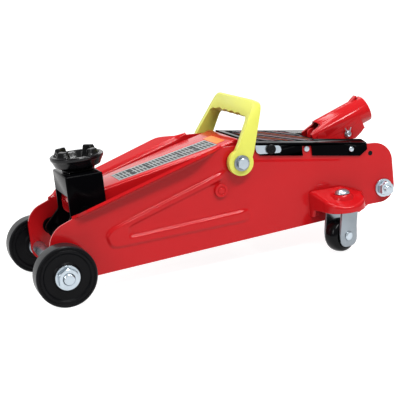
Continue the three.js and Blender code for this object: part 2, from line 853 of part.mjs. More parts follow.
// ---------- Cover ----------

// Folded sheet cover: flanges down both sides and a round-ended mouth at the rear for the socket.
function cover() {
  const outerY = plateOuterY + seatGap + coverSheet;
  const innerY = plateOuterY + seatGap;
  const rearX = coverRearX + coverRearSweep;
  const side = new THREE.Shape();
  side.moveTo(coverFrontX, coverTopZ(coverFrontX));
  side.lineTo(coverFrontX + coverFrontSweep, coverTopZ(coverFrontX) - coverFlangeDepth);
  side.lineTo(coverRearX - 9, coverTopZ(coverRearX - 9) - coverFlangeDepth);
  side.lineTo(coverRearX, coverTopZ(coverRearX) - coverFlangeDepth + 7);
  side.lineTo(rearX, coverTopZ(rearX) - 3 * coverSheet);
  side.lineTo(rearX, coverTopZ(rearX));
  side.closePath();
  const plan = new THREE.Shape();
  plan.moveTo(coverFrontX - 1, -outerY);
  plan.lineTo(coverRearX, -outerY);
  plan.lineTo(rearX, -coverMouthHalfWidth);
  plan.lineTo(rearX, coverMouthHalfWidth);
  plan.lineTo(coverRearX, outerY);
  plan.lineTo(coverFrontX - 1, outerY);
  plan.closePath();
  const shell = plateXZ(side, -outerY, outerY).intersect(plateXY(plan, 0, 200));
  const within = box(coverFrontX - 10, rearX + 10, -innerY, innerY, -60, 0);
  const inside = raised(within, (x) => coverTopZ(x) - coverSheet);
  const mouth = roundedShape([
    [coverMouthX, -coverMouthHalfWidth, coverMouthRadius],
    [rearX + 10, -coverMouthHalfWidth],
    [rearX + 10, coverMouthHalfWidth],
    [coverMouthX, coverMouthHalfWidth, coverMouthRadius],
  ]);
  const notchHalf = springRodNotch / 2;
  const notch = box(springRodX - notchHalf, springRodX + notchHalf, -100, 100, 0, springRodZ + 5);
  const screws = [
    barY(bumperX, bumperZ, coverScrewRadius + seatGap, -100, 100, 12),
    barY(coverScrewX, coverScrewZ, coverScrewRadius + seatGap, -100, 100, 12),
  ];
  return cut(shell, inside, plateXY(mouth, 0, 200, 6), notch, ...screws);
}

// Fastener with a round head outside the cover flange and a shank through the side plate.
function coverFastener(x, z, headRadius, headThickness) {
  const face = plateOuterY + coverSheet + 2 * seatGap;
  return join(
    barY(x, z, coverScrewRadius, plateInnerY - 1, face + 1, 12),
    barY(x, z, headRadius, face, face + headThickness, 20),
  );
}

function springRod() {
  const end = plateOuterY + coverSheet;
  return barY(springRodX, springRodZ, springRodRadius, -end, end, 16);
}

place('cover', cover(), blackPaint);
placePair('cover_bumper', coverFastener(bumperX, bumperZ, bumperRadius, bumperThickness), blackPlastic);
placePair('cover_screw', coverFastener(coverScrewX, coverScrewZ, coverScrewHead, 1.6), zinc);
place('spring_rod', springRod(), zinc);

// ---------- Power unit ----------

// Piston rod with a flat head that pushes the crank pin forwards.
function pistonRod() {
  const faceX = crankX + crankPinRadius + ramLead;
  const head = box(faceX, faceX + ramHeadLength, -ramHeadHalfWidth, ramHeadHalfWidth,
    ramZ - ramHeadHalfHeight, ramZ + ramHeadHalfHeight);
  return join(head, barX(0, ramZ, rodRadius, faceX + 1, rodRearX));
}

function ramCylinder() {
  const tube = barX(0, ramZ, cylinderRadius, cylinderFrontX, cylinderRearX, 32);
  return cut(tube, barX(0, ramZ, rodRadius + runningGap, cylinderFrontX - 1, cylinderRearX - 3));
}

// Oil tank: a sleeve around the cylinder, closed by a front ring.
function oilTank() {
  const sleeve = barX(0, ramZ, tankRadius, tankFrontX, cylinderRearX, 36);
  const oilSpace = barX(0, ramZ, tankRadius - tankWall, tankFrontX + tankWall, cylinderRearX + 1, 36);
  const ring = barX(0, ramZ, cylinderRadius + seatGap, tankFrontX - 1, cylinderRearX + 1, 32);
  const filler = barZ(fillerX, 0, fillerRadius + seatGap, ramZ + cylinderRadius + 2, ramZ + tankRadius + 5);
  return cut(sleeve, oilSpace, ring, filler);
}

function fillerPlug() {
  const top = ramZ + tankRadius;
  return join(
    barZ(fillerX, 0, fillerRadius, top - tankWall - 1, top + 1),
    barZ(fillerX, 0, fillerRadius + 2, top + seatGap, top + 3),
  );
}

// Pump block between the plates, with the pump barrel on top and two lugs for the socket pivot.
function pumpBlock() {
  const frontX = cylinderRearX + seatGap;
  const halfWidth = plateInnerY - seatGap;
  const body = box(frontX, blockRearX, -halfWidth, halfWidth, blockBottomZ, blockTopZ);
  const barrel = barZ(plungerX, 0, pumpBarrelRadius, blockTopZ - 1, pumpBarrelTopZ, 24);
  const lug = roundedShape([
    [pumpPivotX - 7.5, pumpPivotZ + 7.5, 7],
    [pumpPivotX - 7.5, pumpPivotZ - 7.5, 5],
    [frontX + 0.7, pumpPivotZ - 8, 2],
    [frontX + 0.7, blockTopZ - 1],
    [frontX + 15, blockTopZ - 1],
    [pumpPivotX + 7.5, pumpPivotZ - 2, 5],
    [pumpPivotX + 7.5, pumpPivotZ + 7.5, 6],
  ]);
  const rightLug = plateXZ(lug, lugOuterY - lugSheet, lugOuterY);
  const boltEnd = halfWidth - rearBoltDepth;
  const boltBore = barY(rearBoltX, rearBoltZ, rearBoltRadius + seatGap, boltEnd, halfWidth + 1);
  const bores = [
    boltBore,
    mirrored(boltBore),
    barZ(plungerX, 0, plungerRadius + runningGap, plungerBottomZ - 4, pumpBarrelTopZ + 1),
    barY(pumpPivotX, pumpPivotZ, pumpPivotRadius + seatGap, -40, 40),
    barX(valveY, valveZ, valveRadius + runningGap, blockRearX - valveSeat, blockRearX + 1),
  ];
  return cut(join(body, barrel, rightLug, mirrored(rightLug)), ...bores);
}

function rearWasher() {
  const inner = plateOuterY + seatGap;
  const disc = barY(rearBoltX, rearBoltZ, rearWasherRadius, inner, inner + rearWasherThickness, 24);
  return cut(disc, barY(rearBoltX, rearBoltZ, rearBoltRadius + seatGap, inner - 1, inner + 5));
}

function rearBolt() {
  const head = plateOuterY + rearWasherThickness + 2 * seatGap;
  const tip = plateInnerY - rearBoltDepth + 1;
  const shank = barY(rearBoltX, rearBoltZ, rearBoltRadius, tip, head + 1);
  const end = head + rearBoltHead;
  const nub = barY(rearBoltX, rearBoltZ, rearBoltTipRadius, end - 1, end + rearBoltTip, 16);
  return join(shank, hexY(rearBoltX, rearBoltZ, rearBoltFlats, head, end), nub);
}

// Valve spindle with a screwdriver slot in its end.
function releaseValve() {
  const seat = blockRearX - valveSeat + seatGap;
  const end = blockRearX + valveLength;
  const spindle = join(
    barX(valveY, valveZ, valveRadius, seat, end - 1),
    barX(valveY, valveZ, valveRadius + 2.5, blockRearX + seatGap, blockRearX + 5),
  );
  const slot = box(end - 5, end + 1, valveY - 1.2, valveY + 1.2, valveZ - 20, valveZ + 20);
  return cut(spindle, slot);
}

place('piston_rod', pistonRod(), steel);
place('ram_cylinder', ramCylinder(), castGrey);
place('oil_tank', oilTank(), redPaint);
place('filler_plug', fillerPlug(), rubber);
place('pump_block', pumpBlock(), redPaint);
placePair('rear_washer', rearWasher(), zinc);
placePair('rear_bolt', rearBolt(), zinc);
place('release_valve', releaseValve(), steel);

// ---------- Pump plunger and handle socket ----------

// The head is slotted lengthwise, because the pin swings on an arc while the plunger runs straight.
function pumpPlunger() {
  const half = plungerSlot / 2 + pumpPinRadius + 2;
  const slotHalf = plungerSlot / 2 + pumpPinRadius;
  const high = pumpPinRadius + plungerSlotPlay;
  const headShape = roundedShape([
    [plungerX - half, pumpPinZ - high - 2, 2],
    [plungerX + half, pumpPinZ - high - 2, 2],
    [plungerX + half, pumpPinZ + high + 1.8, 5],
    [plungerX - half, pumpPinZ + high + 1.8, 5],
  ]);
  const slotShape = roundedShape([
    [plungerX - slotHalf, pumpPinZ - high, 3],
    [plungerX + slotHalf, pumpPinZ - high, 3],
    [plungerX + slotHalf, pumpPinZ + high, 3],
    [plungerX - slotHalf, pumpPinZ + high, 3],
  ]);
  const thick = socketEarInnerY - seatGap - 1;
  const head = plateXZ(headShape, -thick, thick);
  const rod = barZ(plungerX, 0, plungerRadius, plungerBottomZ, pumpPinZ - high - 1);
  return cut(join(head, rod), plateXZ(slotShape, -50, 50));
}

// Folded sheet with a round back that closes to a full ring at its mouth, where the lever goes in.
function handleSocket() {
  const inside = socketEarInnerY;
  const back = barX(0, 0, socketRadius, -socketLength, 0, 40);
  const walls = box(-socketLength, -socketRing, -socketRadius, socketRadius, -2 * socketRadius, 0);
  const bore = barX(0, 0, inside, -socketLength - 1, 1, 36);
  const gap = box(-socketLength - 1, -socketRing, -inside, inside, -3 * socketRadius, 0);
  const windowStart = -socketRing + 3;
  const window = box(windowStart, windowStart + tabLength, -tabHalfWidth, tabHalfWidth, inside / 2, 20);
  const fold = cut(join(back, walls), bore, gap, window);
  const folded = join(fold, socketTab());
  const outline = roundedShape([
    [socketEndX + socketRadius, socketEndZ + 2 * socketRadius],
    [socketEndX + socketRadius, socketEndZ - 2 * socketRadius],
    [pumpPinX + 21, pumpPinZ + 3],
    [pumpPinX + 17, pumpPinZ - 1, 2],
    [pumpPinX + 9.5, earBottomZ + 1, 4],
    [pumpPivotX - 4, earBottomZ, 5],
    [pumpPivotX - earReach + 1, pumpPivotZ - 1, 3],
    [pumpPivotX - earReach, pumpPivotZ + 3.5, 1],
    [pumpPivotX + 3, pumpPivotZ + 12, 2],
    [pumpPivotX - 2, pumpPivotZ + 16],
    [pumpPivotX - 2, socketEndZ + 2 * socketRadius],
  ]);
  const bores = [
    barY(pumpPivotX, pumpPivotZ, pumpPivotRadius + runningGap, -40, 40),
    barY(pumpPinX, pumpPinZ, pumpPinRadius + seatGap, -40, 40, 16),
  ];
  return cut(tilted(folded).intersect(plateXZ(outline, -50, 50)), ...bores);
}

// Tongue lanced out of the round back beside its window, bent up towards the mouth.
function socketTab() {
  const root = -socketRing + 1;
  const tip = root + 2 + tabLength;
  const shape = new THREE.Shape();
  shape.moveTo(root, socketEarInnerY + 0.8);
  shape.lineTo(tip, socketRadius - 1.8 + tabLift);
  shape.lineTo(tip - 0.6, socketRadius + tabLift);
  shape.lineTo(root, socketRadius - 0.2);
  shape.closePath();
  return plateXZ(shape, -tabHalfWidth + 0.3, tabHalfWidth - 0.3);
}

// Tilts a solid drawn along X up to the socket's slope and moves it to the socket's mouth.
function tilted(manifold) {
  return solid(geometryOf(manifold).rotateY(-socketTilt).translate(socketEndX, 0, socketEndZ));
}

const socketPivot = headedPin(pumpPivotX, pumpPivotZ, pumpPivotRadius, pumpPivotHead, 0.8, socketRadius);
const plungerPin = headedPin(pumpPinX, pumpPinZ, pumpPinRadius, pumpPinHead, 1.6, socketRadius);
place('pump_plunger', pumpPlunger(), steel);
place('handle_socket', handleSocket(), redPaint);
place('socket_pivot', socketPivot, redPaint);
place('plunger_pin', plungerPin, zinc);

// ---------- Return springs ----------

// Coil between the crank pin and the spring rod, with a hook at each end.
function returnSpring() {
  const start = new THREE.Vector3(crankX, springY, crankZ);
  const along = new THREE.Vector3(springRodX - crankX, 0, springRodZ - crankZ);
  const length = along.length();
  along.normalize();
  const across = new THREE.Vector3(-along.z, 0, along.x);
  const sideways = new THREE.Vector3(0, 1, 0);
  const at = (s, a, b) => start.clone()
    .addScaledVector(along, s)
    .addScaledVector(across, a)
    .addScaledVector(sideways, b);
  const points = [];
  const hook = crankPinRadius + seatGap + springWire;
  for (let i = 0; i <= 5; i += 1) {
    const turn = Math.PI * (0.5 + i / 5);
    points.push(at(hook * Math.cos(turn), hook * Math.sin(turn), 0));
  }
  const first = hook + 6;
  const rodHook = springRodRadius + seatGap + springWire;
  const last = length - rodHook - 6;
  const turns = springTurns;
  for (let i = 0; i <= turns * 8; i += 1) {
    const turn = (i / 8) * 2 * Math.PI;
    const s = first + ((last - first) * i) / (turns * 8);
    points.push(at(s, -springRadius * Math.cos(turn), springRadius * Math.sin(turn)));
  }
  for (let i = 0; i <= 5; i += 1) {
    const turn = Math.PI * (-0.5 + i / 5);
    points.push(at(length + rodHook * Math.cos(turn), rodHook * Math.sin(turn), 0));
  }
  const path = new THREE.CatmullRomCurve3(points, false, 'centripetal');
  const section = new THREE.Shape();
  section.absarc(0, 0, springWire, 0, 2 * Math.PI);
  const options = { steps: points.length - 1, extrudePath: path, bevelEnabled: false, curveSegments: 3 };
  return solid(new THREE.ExtrudeGeometry(section, options));
}

placePair('return_spring', returnSpring(), springSteel);

// ---------- Rear casters ----------

// Pressed bracket bolted to the side plate: a sloping top, a turned-down rim and a flat boss.
function casterBracket() {
  const root = plateOuterY + seatGap;
  const plan = new THREE.Shape();
  plan.moveTo(casterBracketFrontX, root);
  plan.lineTo(casterBracketPeakX, root);
  plan.lineTo(casterBracketBackX, root);
  plan.lineTo(stemX + bracketNose, stemY);
  plan.absarc(stemX, stemY, bracketNose, 0, Math.PI, false);
  plan.closePath();
  const inner = new THREE.Shape();
  inner.moveTo(casterBracketFrontX + casterSheet, root + casterSheet);
  inner.lineTo(casterBracketPeakX, root + casterSheet);
  inner.lineTo(casterBracketBackX - casterSheet, root + casterSheet);
  inner.lineTo(stemX + bracketNose - casterSheet, stemY);
  inner.absarc(stemX, stemY, bracketNose - casterSheet, 0, Math.PI, false);
  inner.closePath();
  const shell = raised(plateXY(plan, -40, 0, 14), casterTopZ);
  const hollow = raised(plateXY(inner, -60, -casterSheet, 14), casterTopZ);
  const trim = box(0, 400, root - 1, 200, -100, casterBracketSkirtZ);
  const rootTab = box(casterBracketFrontX, casterBracketBackX, root, root + casterSheet,
    casterBracketLegZ, casterBracketSkirtZ + 1);
  const boss = barZ(stemX, stemY, casterBossRadius, forkTopZ + seatGap, casterBossZ, 24);
  const bore = barZ(stemX, stemY, stemRadius + seatGap, 0, 100);
  return cut(join(cut(shell, hollow, trim), rootTab, boss), bore);
}

// Kingpin with a domed cap above the boss and a flat head under the fork.
function casterStem() {
  const cap = casterBossZ + seatGap;
  const headTop = forkTopZ - forkSheet - seatGap;
  return turnedZ([
    [0, headTop - 2.5],
    [stemRadius + 3, headTop - 2.5],
    [stemRadius + 3, headTop],
    [stemRadius, headTop],
    [stemRadius, cap],
    [capRadius, cap],
    [capRadius * 0.88, cap + 2.6],
    [capRadius * 0.5, cap + 4.4],
    [0, cap + 5],
  ], stemX, stemY, 24);
}

// Fork, drawn at its own origin with the wheel trailing along -X.
function casterFork() {
  const crown = barZ(0, 0, forkTopRadius, forkTopZ - forkSheet, forkTopZ, 32);
  const leg = roundedShape([
    [-14, forkTopZ],
    [-casterTrail - forkLobe, casterRadius + 4, 6],
    [-casterTrail - forkLobe, casterRadius - forkLobe, 10],
    [-casterTrail + forkLobe, casterRadius - forkLobe, 10],
    [-casterTrail + forkLobe + 1.5, casterRadius + 8, 8],
    [10, forkTopZ],
  ]);
  const inner = casterWidth / 2 + casterSideGap;
  const rightLeg = plateXZ(leg, inner, inner + forkSheet);
  const bores = [
    barZ(0, 0, stemRadius + runningGap, 0, 100),
    barY(-casterTrail, casterRadius, casterAxleRadius + seatGap, -40, 40, 16),
  ];
  return cut(join(crown, rightLeg, mirrored(rightLeg)), ...bores);
}

function casterWheel() {
  const half = casterWidth / 2;
  return turnedY([
    [casterAxleRadius + runningGap, -half],
    [6, -half],
    [6.5, 1 - half],
    [casterRadius - 6, 1 - half],
    [casterRadius - 5.5, -half],
    [casterRadius - 4.5, -half],
    [casterRadius - 1.6, 2 - half],
    [casterRadius - 0.5, 4.5 - half],
    [casterRadius, 0],
    [casterRadius - 0.5, half - 4.5],
    [casterRadius - 1.6, half - 2],
    [casterRadius - 4.5, half],
    [casterRadius - 5.5, half],
    [casterRadius - 6, half - 1],
    [6.5, half - 1],
    [6, half],
    [casterAxleRadius + runningGap, half],
  ], -casterTrail, casterRadius, 28);
}

function casterAxle() {
  const grip = casterWidth / 2 + casterSideGap + forkSheet;
  return headedPin(-casterTrail, casterRadius, casterAxleRadius, casterAxleRadius + 2, 1.6, grip);
}

placePair('caster_bracket', casterBracket(), redPaint);
placePair('caster_stem', casterStem(), zinc);
for (const [side, sign] of [['right', 1], ['left', -1]]) {
  const caster = new THREE.Group();
  caster.position.set(stemX, sign * stemY, 0);
  caster.rotation.z = -sign * casterTurn;
  jack.add(caster);
  place(`caster_fork_${side}`, casterFork(), zinc, caster);
  place(`caster_wheel_${side}`, casterWheel(), blackPlastic, caster);
  place(`caster_axle_${side}`, casterAxle(), zinc, caster);
}

// ---------- Row origin: the middle of the jack's footprint, on the floor ----------

jack.updateMatrixWorld(true);
const extent = new THREE.Box3().setFromObject(jack, true);
jack.position.x = -(extent.min.x + extent.max.x) / 2;
jack.position.z = -extent.min.z;

export default jack;
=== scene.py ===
"""A hydraulic trolley jack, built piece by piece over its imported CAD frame.

Places are in millimetres from the middle of the front axle, on the floor: x runs to the rear, the
left side is -y and z is up. Meshes are written in metres.
"""

import json
from math import cos, pi, radians, sin

import bmesh
import bpy
import numpy as np
from mathutils import Matrix, Vector

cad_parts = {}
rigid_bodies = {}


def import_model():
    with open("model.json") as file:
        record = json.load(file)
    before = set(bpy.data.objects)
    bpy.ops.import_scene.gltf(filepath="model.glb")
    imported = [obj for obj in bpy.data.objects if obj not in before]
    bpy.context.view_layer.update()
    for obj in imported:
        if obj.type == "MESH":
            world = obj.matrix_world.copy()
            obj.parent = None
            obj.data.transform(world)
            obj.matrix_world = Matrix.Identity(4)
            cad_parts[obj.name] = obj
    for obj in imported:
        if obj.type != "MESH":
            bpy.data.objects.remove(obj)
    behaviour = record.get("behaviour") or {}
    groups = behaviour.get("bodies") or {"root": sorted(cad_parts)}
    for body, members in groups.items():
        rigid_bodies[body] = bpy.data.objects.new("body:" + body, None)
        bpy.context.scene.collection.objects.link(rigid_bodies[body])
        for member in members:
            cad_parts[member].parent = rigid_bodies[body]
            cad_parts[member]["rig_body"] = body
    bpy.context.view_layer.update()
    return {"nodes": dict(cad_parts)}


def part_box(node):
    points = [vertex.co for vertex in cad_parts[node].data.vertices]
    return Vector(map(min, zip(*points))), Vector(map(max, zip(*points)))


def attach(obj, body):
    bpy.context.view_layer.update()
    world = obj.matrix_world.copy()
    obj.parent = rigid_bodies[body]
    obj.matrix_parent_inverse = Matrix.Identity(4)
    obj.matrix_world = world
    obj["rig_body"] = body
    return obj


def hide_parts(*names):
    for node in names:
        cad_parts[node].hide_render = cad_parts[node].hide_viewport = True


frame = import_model()
scene = bpy.context.scene
MM = 0.001
SIDES = (("right", 1), ("left", -1))


# ---------------------------------------------------------------- Camera, floor and studio light
# A long lens looks down a little on the left side from ahead of the saddle. The jack stands on a
# pale floor that bends up into a backdrop, lit by a wide softbox overhead and smaller ones around.

axle_low, axle_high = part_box("front_axle")
axle = Vector(((axle_low.x + axle_high.x) / 2, 0, 0))


def look_frame(azimuth, elevation, roll):
    """Camera axes: backwards from the two angles, then right and up turned about it by the roll."""
    back = Vector((sin(azimuth) * cos(elevation), -cos(azimuth) * cos(elevation), sin(elevation)))
    right = Vector((cos(azimuth), sin(azimuth), 0))
    up = back.cross(right)
    return cos(roll) * right + sin(roll) * up, cos(roll) * up - sin(roll) * right, back


azimuth, elevation, roll = radians(-18.09), radians(12.56), radians(-6.51)
camera_distance = 1.2078
camera_right, camera_up, camera_back = look_frame(azimuth, elevation, roll)
aim = axle + Vector((0.1717, 0, 0.0626))
lens = bpy.data.cameras.new("studio_lens")
lens.sensor_width = 36
lens.lens = 100.2
camera = bpy.data.objects.new("studio_camera", lens)
turn = Matrix((camera_right, camera_up, camera_back)).transposed()
camera.matrix_world = Matrix.Translation(aim + camera_distance * camera_back) @ turn.to_4x4()
scene.collection.objects.link(camera)
scene.camera = camera
scene.view_settings.view_transform = "Standard"
scene.view_settings.gamma = 0.86


def new_object(name, mesh):
    piece = bpy.data.objects.new(name, mesh)
    scene.collection.objects.link(piece)
    return piece


def floor_mesh():
    """Flat floor, in metres, that bends up behind the jack in a quarter circle."""
    front, bend_start, radius, top, half_width = -3.0, 1.5, 0.5, 3.0, 4
    bend = np.linspace(0.1, pi / 2, 12)
    curve = bend_start + radius * np.sin(bend)
    run = np.concatenate([[front, bend_start], curve, [bend_start + radius]])
    rise = np.concatenate([[0, 0], radius - radius * np.cos(bend), [top]])
    points = [(x, y, z) for y, z in zip(run, rise) for x in (-half_width, half_width)]
    faces = [(2 * i, 2 * i + 1, 2 * i + 3, 2 * i + 2) for i in range(len(run) - 1)]
    mesh = bpy.data.meshes.new("floor")
    mesh.from_pydata(points, [], faces)
    mesh.shade_smooth()
    return mesh


floor = new_object("floor", floor_mesh())
floor_paint = bpy.data.materials.new("floor_paint")
floor_paint.use_nodes = True
floor_shader = floor_paint.node_tree.nodes["Principled BSDF"]
floor_shader.inputs["Base Color"].default_value = (0.25, 0.25, 0.25, 1)
floor_shader.inputs["Roughness"].default_value = 0.9
floor_shader.inputs["Specular IOR Level"].default_value = 0
floor_shader.inputs["Emission Color"].default_value = (1, 1, 1, 1)
floor_nodes, floor_links = floor_paint.node_tree.nodes, floor_paint.node_tree.links
floor_place = floor_nodes.new("ShaderNodeTexCoord")
floor_axes = floor_nodes.new("ShaderNodeSeparateXYZ")
floor_glow = floor_nodes.new("ShaderNodeMapRange")
floor_glow.inputs["From Min"].default_value = -1.4
floor_glow.inputs["From Max"].default_value = -0.55
floor_glow.inputs["To Min"].default_value = 0.3
floor_glow.inputs["To Max"].default_value = 0.93
floor_links.new(floor_place.outputs["Object"], floor_axes.inputs["Vector"])
floor_links.new(floor_axes.outputs["Y"], floor_glow.inputs["Value"])
floor_links.new(floor_glow.outputs["Result"], floor_shader.inputs["Emission Strength"])
floor.data.materials.append(floor_paint)

world = bpy.data.worlds.new("studio_air")
world.use_nodes = True
air_nodes, air_links = world.node_tree.nodes, world.node_tree.links
air_place = air_nodes.new("ShaderNodeTexCoord")
air_axes = air_nodes.new("ShaderNodeSeparateXYZ")
air_ramp = air_nodes.new("ShaderNodeValToRGB")
air_ramp.color_ramp.elements[0].position = 0.05
air_ramp.color_ramp.elements[0].color = (0.2, 0.2, 0.2, 1)
air_ramp.color_ramp.elements[1].position = 0.8
air_ramp.color_ramp.elements[1].color = (0.55, 0.55, 0.55, 1)
air_links.new(air_place.outputs["Generated"], air_axes.inputs["Vector"])
air_links.new(air_axes.outputs["Z"], air_ramp.inputs["Fac"])
air_links.new(air_ramp.outputs["Color"], air_nodes["Background"].inputs["Color"])
scene.world = world


def softbox(name, place, size, power):
    """Rectangular area light of one size and power, facing the middle of the jack."""
    light = bpy.data.lights.new(name, "AREA")
    light.shape = "RECTANGLE"
    light.size, light.size_y = size
    light.energy = power
    lamp = bpy.data.objects.new(name, light)
    lamp.location = place
    lamp.rotation_euler = (aim - Vector(place)).to_track_quat("-Z", "Y").to_euler()
    scene.collection.objects.link(lamp)


softbox("overhead", (0.05, 0.0, 1.15), (1.3, 0.2), 9)
softbox("left_key", (0.25, -0.8, 0.95), (0.9, 0.14), 12)
softbox("front_left", (-1.1, -0.6, 0.7), (0.3, 0.5), 4)
softbox("rear_right", (0.9, 1.0, 0.8), (0.6, 0.6), 3)


# ---------------------------------------------------------------- Side plates
# Two red pressed plates carry everything. Their top edge is bent outwards into a stiffening flange
# that starts behind the front corner, and a V-shaped rib is pressed out of the middle.

def finish(name, colour, roughness, metallic=0.0, specular=0.5, grain=0.0, grain_size=900.0,
           mottle=0.06):
    """Surface with a slow mottle in its colour and roughness and a fine grain in its bump."""
    darker, lighter = 1 - 2 * mottle, 1 + 2 * mottle
    material = bpy.data.materials.new(name)
    material.use_nodes = True
    nodes, links = material.node_tree.nodes, material.node_tree.links
    shader = nodes["Principled BSDF"]
    shader.inputs["Metallic"].default_value = metallic
    shader.inputs["Specular IOR Level"].default_value = specular
    place = nodes.new("ShaderNodeTexCoord")
    cloud = nodes.new("ShaderNodeTexNoise")
    cloud.inputs["Scale"].default_value = 38
    cloud.inputs["Detail"].default_value = 4
    links.new(place.outputs["Object"], cloud.inputs["Vector"])
    ramp = nodes.new("ShaderNodeValToRGB")
    ramp.color_ramp.elements[0].color = (*[c * darker for c in colour], 1)
    ramp.color_ramp.elements[1].color = (*[min(1, c * lighter) for c in colour], 1)
    links.new(cloud.outputs["Fac"], ramp.inputs["Fac"])
    links.new(ramp.outputs["Color"], shader.inputs["Base Color"])
    gloss = nodes.new("ShaderNodeMapRange")
    gloss.inputs["To Min"].default_value = roughness * 0.8
    gloss.inputs["To Max"].default_value = roughness * 1.25
    links.new(cloud.outputs["Fac"], gloss.inputs["Value"])
    links.new(gloss.outputs["Result"], shader.inputs["Roughness"])
    if grain:
        speck = nodes.new("ShaderNodeTexNoise")
        speck.inputs["Scale"].default_value = grain_size
        speck.inputs["Detail"].default_value = 2
        links.new(place.outputs["Object"], speck.inputs["Vector"])
        bump = nodes.new("ShaderNodeBump")
        bump.inputs["Strength"].default_value = grain
        bump.inputs["Distance"].default_value = 0.0004
        links.new(speck.outputs["Fac"], bump.inputs["Height"])
        links.new(bump.outputs["Normal"], shader.inputs["Normal"])
    return material


def surface(name, *grids, sharp=35):
    """Mesh of grids of points in mm; each says whether its rows and its columns close up."""
    shape = bmesh.new()
    for points, close_rows, close_columns in grids:
        rows, columns = points.shape[:2]
        places = points.reshape(-1, 3)
        corners = [shape.verts.new((x * MM + axle.x, y * MM, z * MM)) for x, y, z in places]
        for i in range(rows if close_rows else rows - 1):
            for j in range(columns if close_columns else columns - 1):
                above, beside = (i + 1) % rows * columns, (j + 1) % columns
                quad = (i * columns + j, above + j, above + beside, i * columns + beside)
                shape.faces.new([corners[k] for k in quad])
    bmesh.ops.remove_doubles(shape, verts=shape.verts, dist=1e-6)
    bmesh.ops.recalc_face_normals(shape, faces=shape.faces)
    mesh = bpy.data.meshes.new(name)
    shape.to_mesh(mesh)
    shape.free()
    mesh.shade_smooth()
    mesh.set_sharp_from_angle(angle=radians(sharp))
    return mesh


def mounted(name, mesh, material, slot, nodes=(), body=None):
    """Object of a mesh that takes one material, stands for CAD nodes and rides on their body."""
    piece = new_object(name, mesh)
    mesh.materials.clear()
    mesh.materials.append(material)
    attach(piece, body or frame["nodes"][nodes[0]]["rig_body"])
    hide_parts(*nodes)
    return piece


def skin(sheet, thickness):
    """Closed grid round a sheet: its face, then its back set in along the normals."""
    normal = np.cross(np.gradient(sheet, axis=0), np.gradient(sheet, axis=1))
    normal /= np.linalg.norm(normal, axis=2, keepdims=True) + 1e-12
    back = sheet - normal * thickness
    return np.concatenate([sheet, back[::-1]], axis=0)


def ease(t):
    """Smooth step from 0 to 1."""
    t = np.clip(t, 0, 1)
    return t * t * (3 - 2 * t)


def corner_cut(distance, radius):
    """How far a round corner drops from its square one, at a distance in from the end."""
    inside = np.clip(radius - distance, 0, radius)
    return radius - np.sqrt(radius ** 2 - inside ** 2)


def eased(profile, radius, closed):
    """Profile of (radius, along) points with each corner drawn as a short curve."""
    points = [np.array(point, float) for point in profile]
    bend = np.linspace(0, 1, 5)[:, None]
    result = []
    for i, corner in enumerate(points):
        if not closed and i in (0, len(points) - 1):
            result.append(corner[None])
            continue
        before = points[i - 1] - corner
        after = points[(i + 1) % len(points)] - corner
        reach = min(radius, 0.45 * np.hypot(*before), 0.45 * np.hypot(*after))
        start = corner + before / np.hypot(*before) * reach
        end = corner + after / np.hypot(*after) * reach
        result.append((1 - bend) ** 2 * start + 2 * bend * (1 - bend) * corner + bend ** 2 * end)
    return np.concatenate(result)


def spun(rows, centre, axis="y", steps=96):
    """Grid of rows turned about y or z; a row is (radius or rule of the angle, place along it)."""
    angle = np.linspace(0, 2 * pi, steps, endpoint=False)
    radii = [reach(angle) if callable(reach) else reach + 0 * angle for reach, along in rows]
    alongs = np.array([along + 0 * angle for reach, along in rows])
    first, second = radii * np.sin(angle), radii * np.cos(angle)
    order = {"y": (first, alongs, second), "z": (first, second, alongs)}
    return np.stack(order[axis], axis=2) + np.array(centre, float)


def lathe(profile, centre, axis="y", corner=0.4, closed=False, sign=1):
    """Body turned about an axis from a profile; a closed profile leaves a bore."""
    rows = [(reach, sign * along) for reach, along in eased(profile, corner, closed)]
    return spun(rows, centre, axis), closed, True


def drum(bore, rim, low, high):
    """Square profile between two radii and two places along the axis."""
    return [(bore, low), (rim, low), (rim, high), (bore, high)]


def turned(name, profile, centre, material, slot, body=None, **shape):
    """Turned piece that stands for the CAD node of its name, or an extra one on a given body."""
    nodes = () if body else (name,)
    piece_name = name if body else f"{name}_body"
    mesh = surface(piece_name, lathe(profile, centre, **shape))
    return mounted(piece_name, mesh, material, slot, nodes, body)


def soft_min(blend, *distances):
    """Smallest of several distances, with the corner between them rounded."""
    total = sum(np.exp(-distance / blend) for distance in distances)
    return -blend * np.log(total)


def line(x, start, height, slope):
    """Straight line in the side view: its height where it starts, then its slope."""
    return height + slope * (x - start)


def v_rib(x, z):
    """Pressed V, 1 on its flat and 0 outside: a blunt wedge with a smaller wedge left out of it."""
    upper_top, upper_low = line(x, 95, 75.2, 0.3035), line(x, 74.6, 62.8, 0.2955)
    lower_top, lower_low = line(x, 75.6, 52.1, 0.0372), line(x, 54.5, 43.4, 0.0133)
    upper_top_cosine, upper_low_cosine = 0.957, 0.959
    nose = x - 50.0 - 0.25 * np.abs(z - 56)
    outside = soft_min(3.0, (upper_top - z) * upper_top_cosine, z - lower_low, nose)
    valley = soft_min(1.6, (upper_low - z) * upper_low_cosine, z - lower_top, x - 74.0)
    wall, fade = 3.4, 13
    upper_end, lower_end = 186.0, 207.0
    end = np.where(z > (upper_low + lower_top) / 2, upper_end, lower_end)
    return ease(0.5 + outside / wall) * ease(0.5 - valley / wall) * ease((end - x) / fade)


plate_front, plate_rear = -8.0, 376.3
plate_face = 58.3
plate_sheet = 3.0
shoulder, bend_end = 18.0, 183.0
pump_step_start, pump_step_end = 333, 343
cover_front, cover_slope = 218.6, -0.16
pivot_x, pivot_z = 198.5, 108.8
rib_height = 2.2
recess_depth = 0.3


def cover_line(x):
    """Top of the cover, falling gently to the rear."""
    return line(x, pivot_x, 129.1, cover_slope)


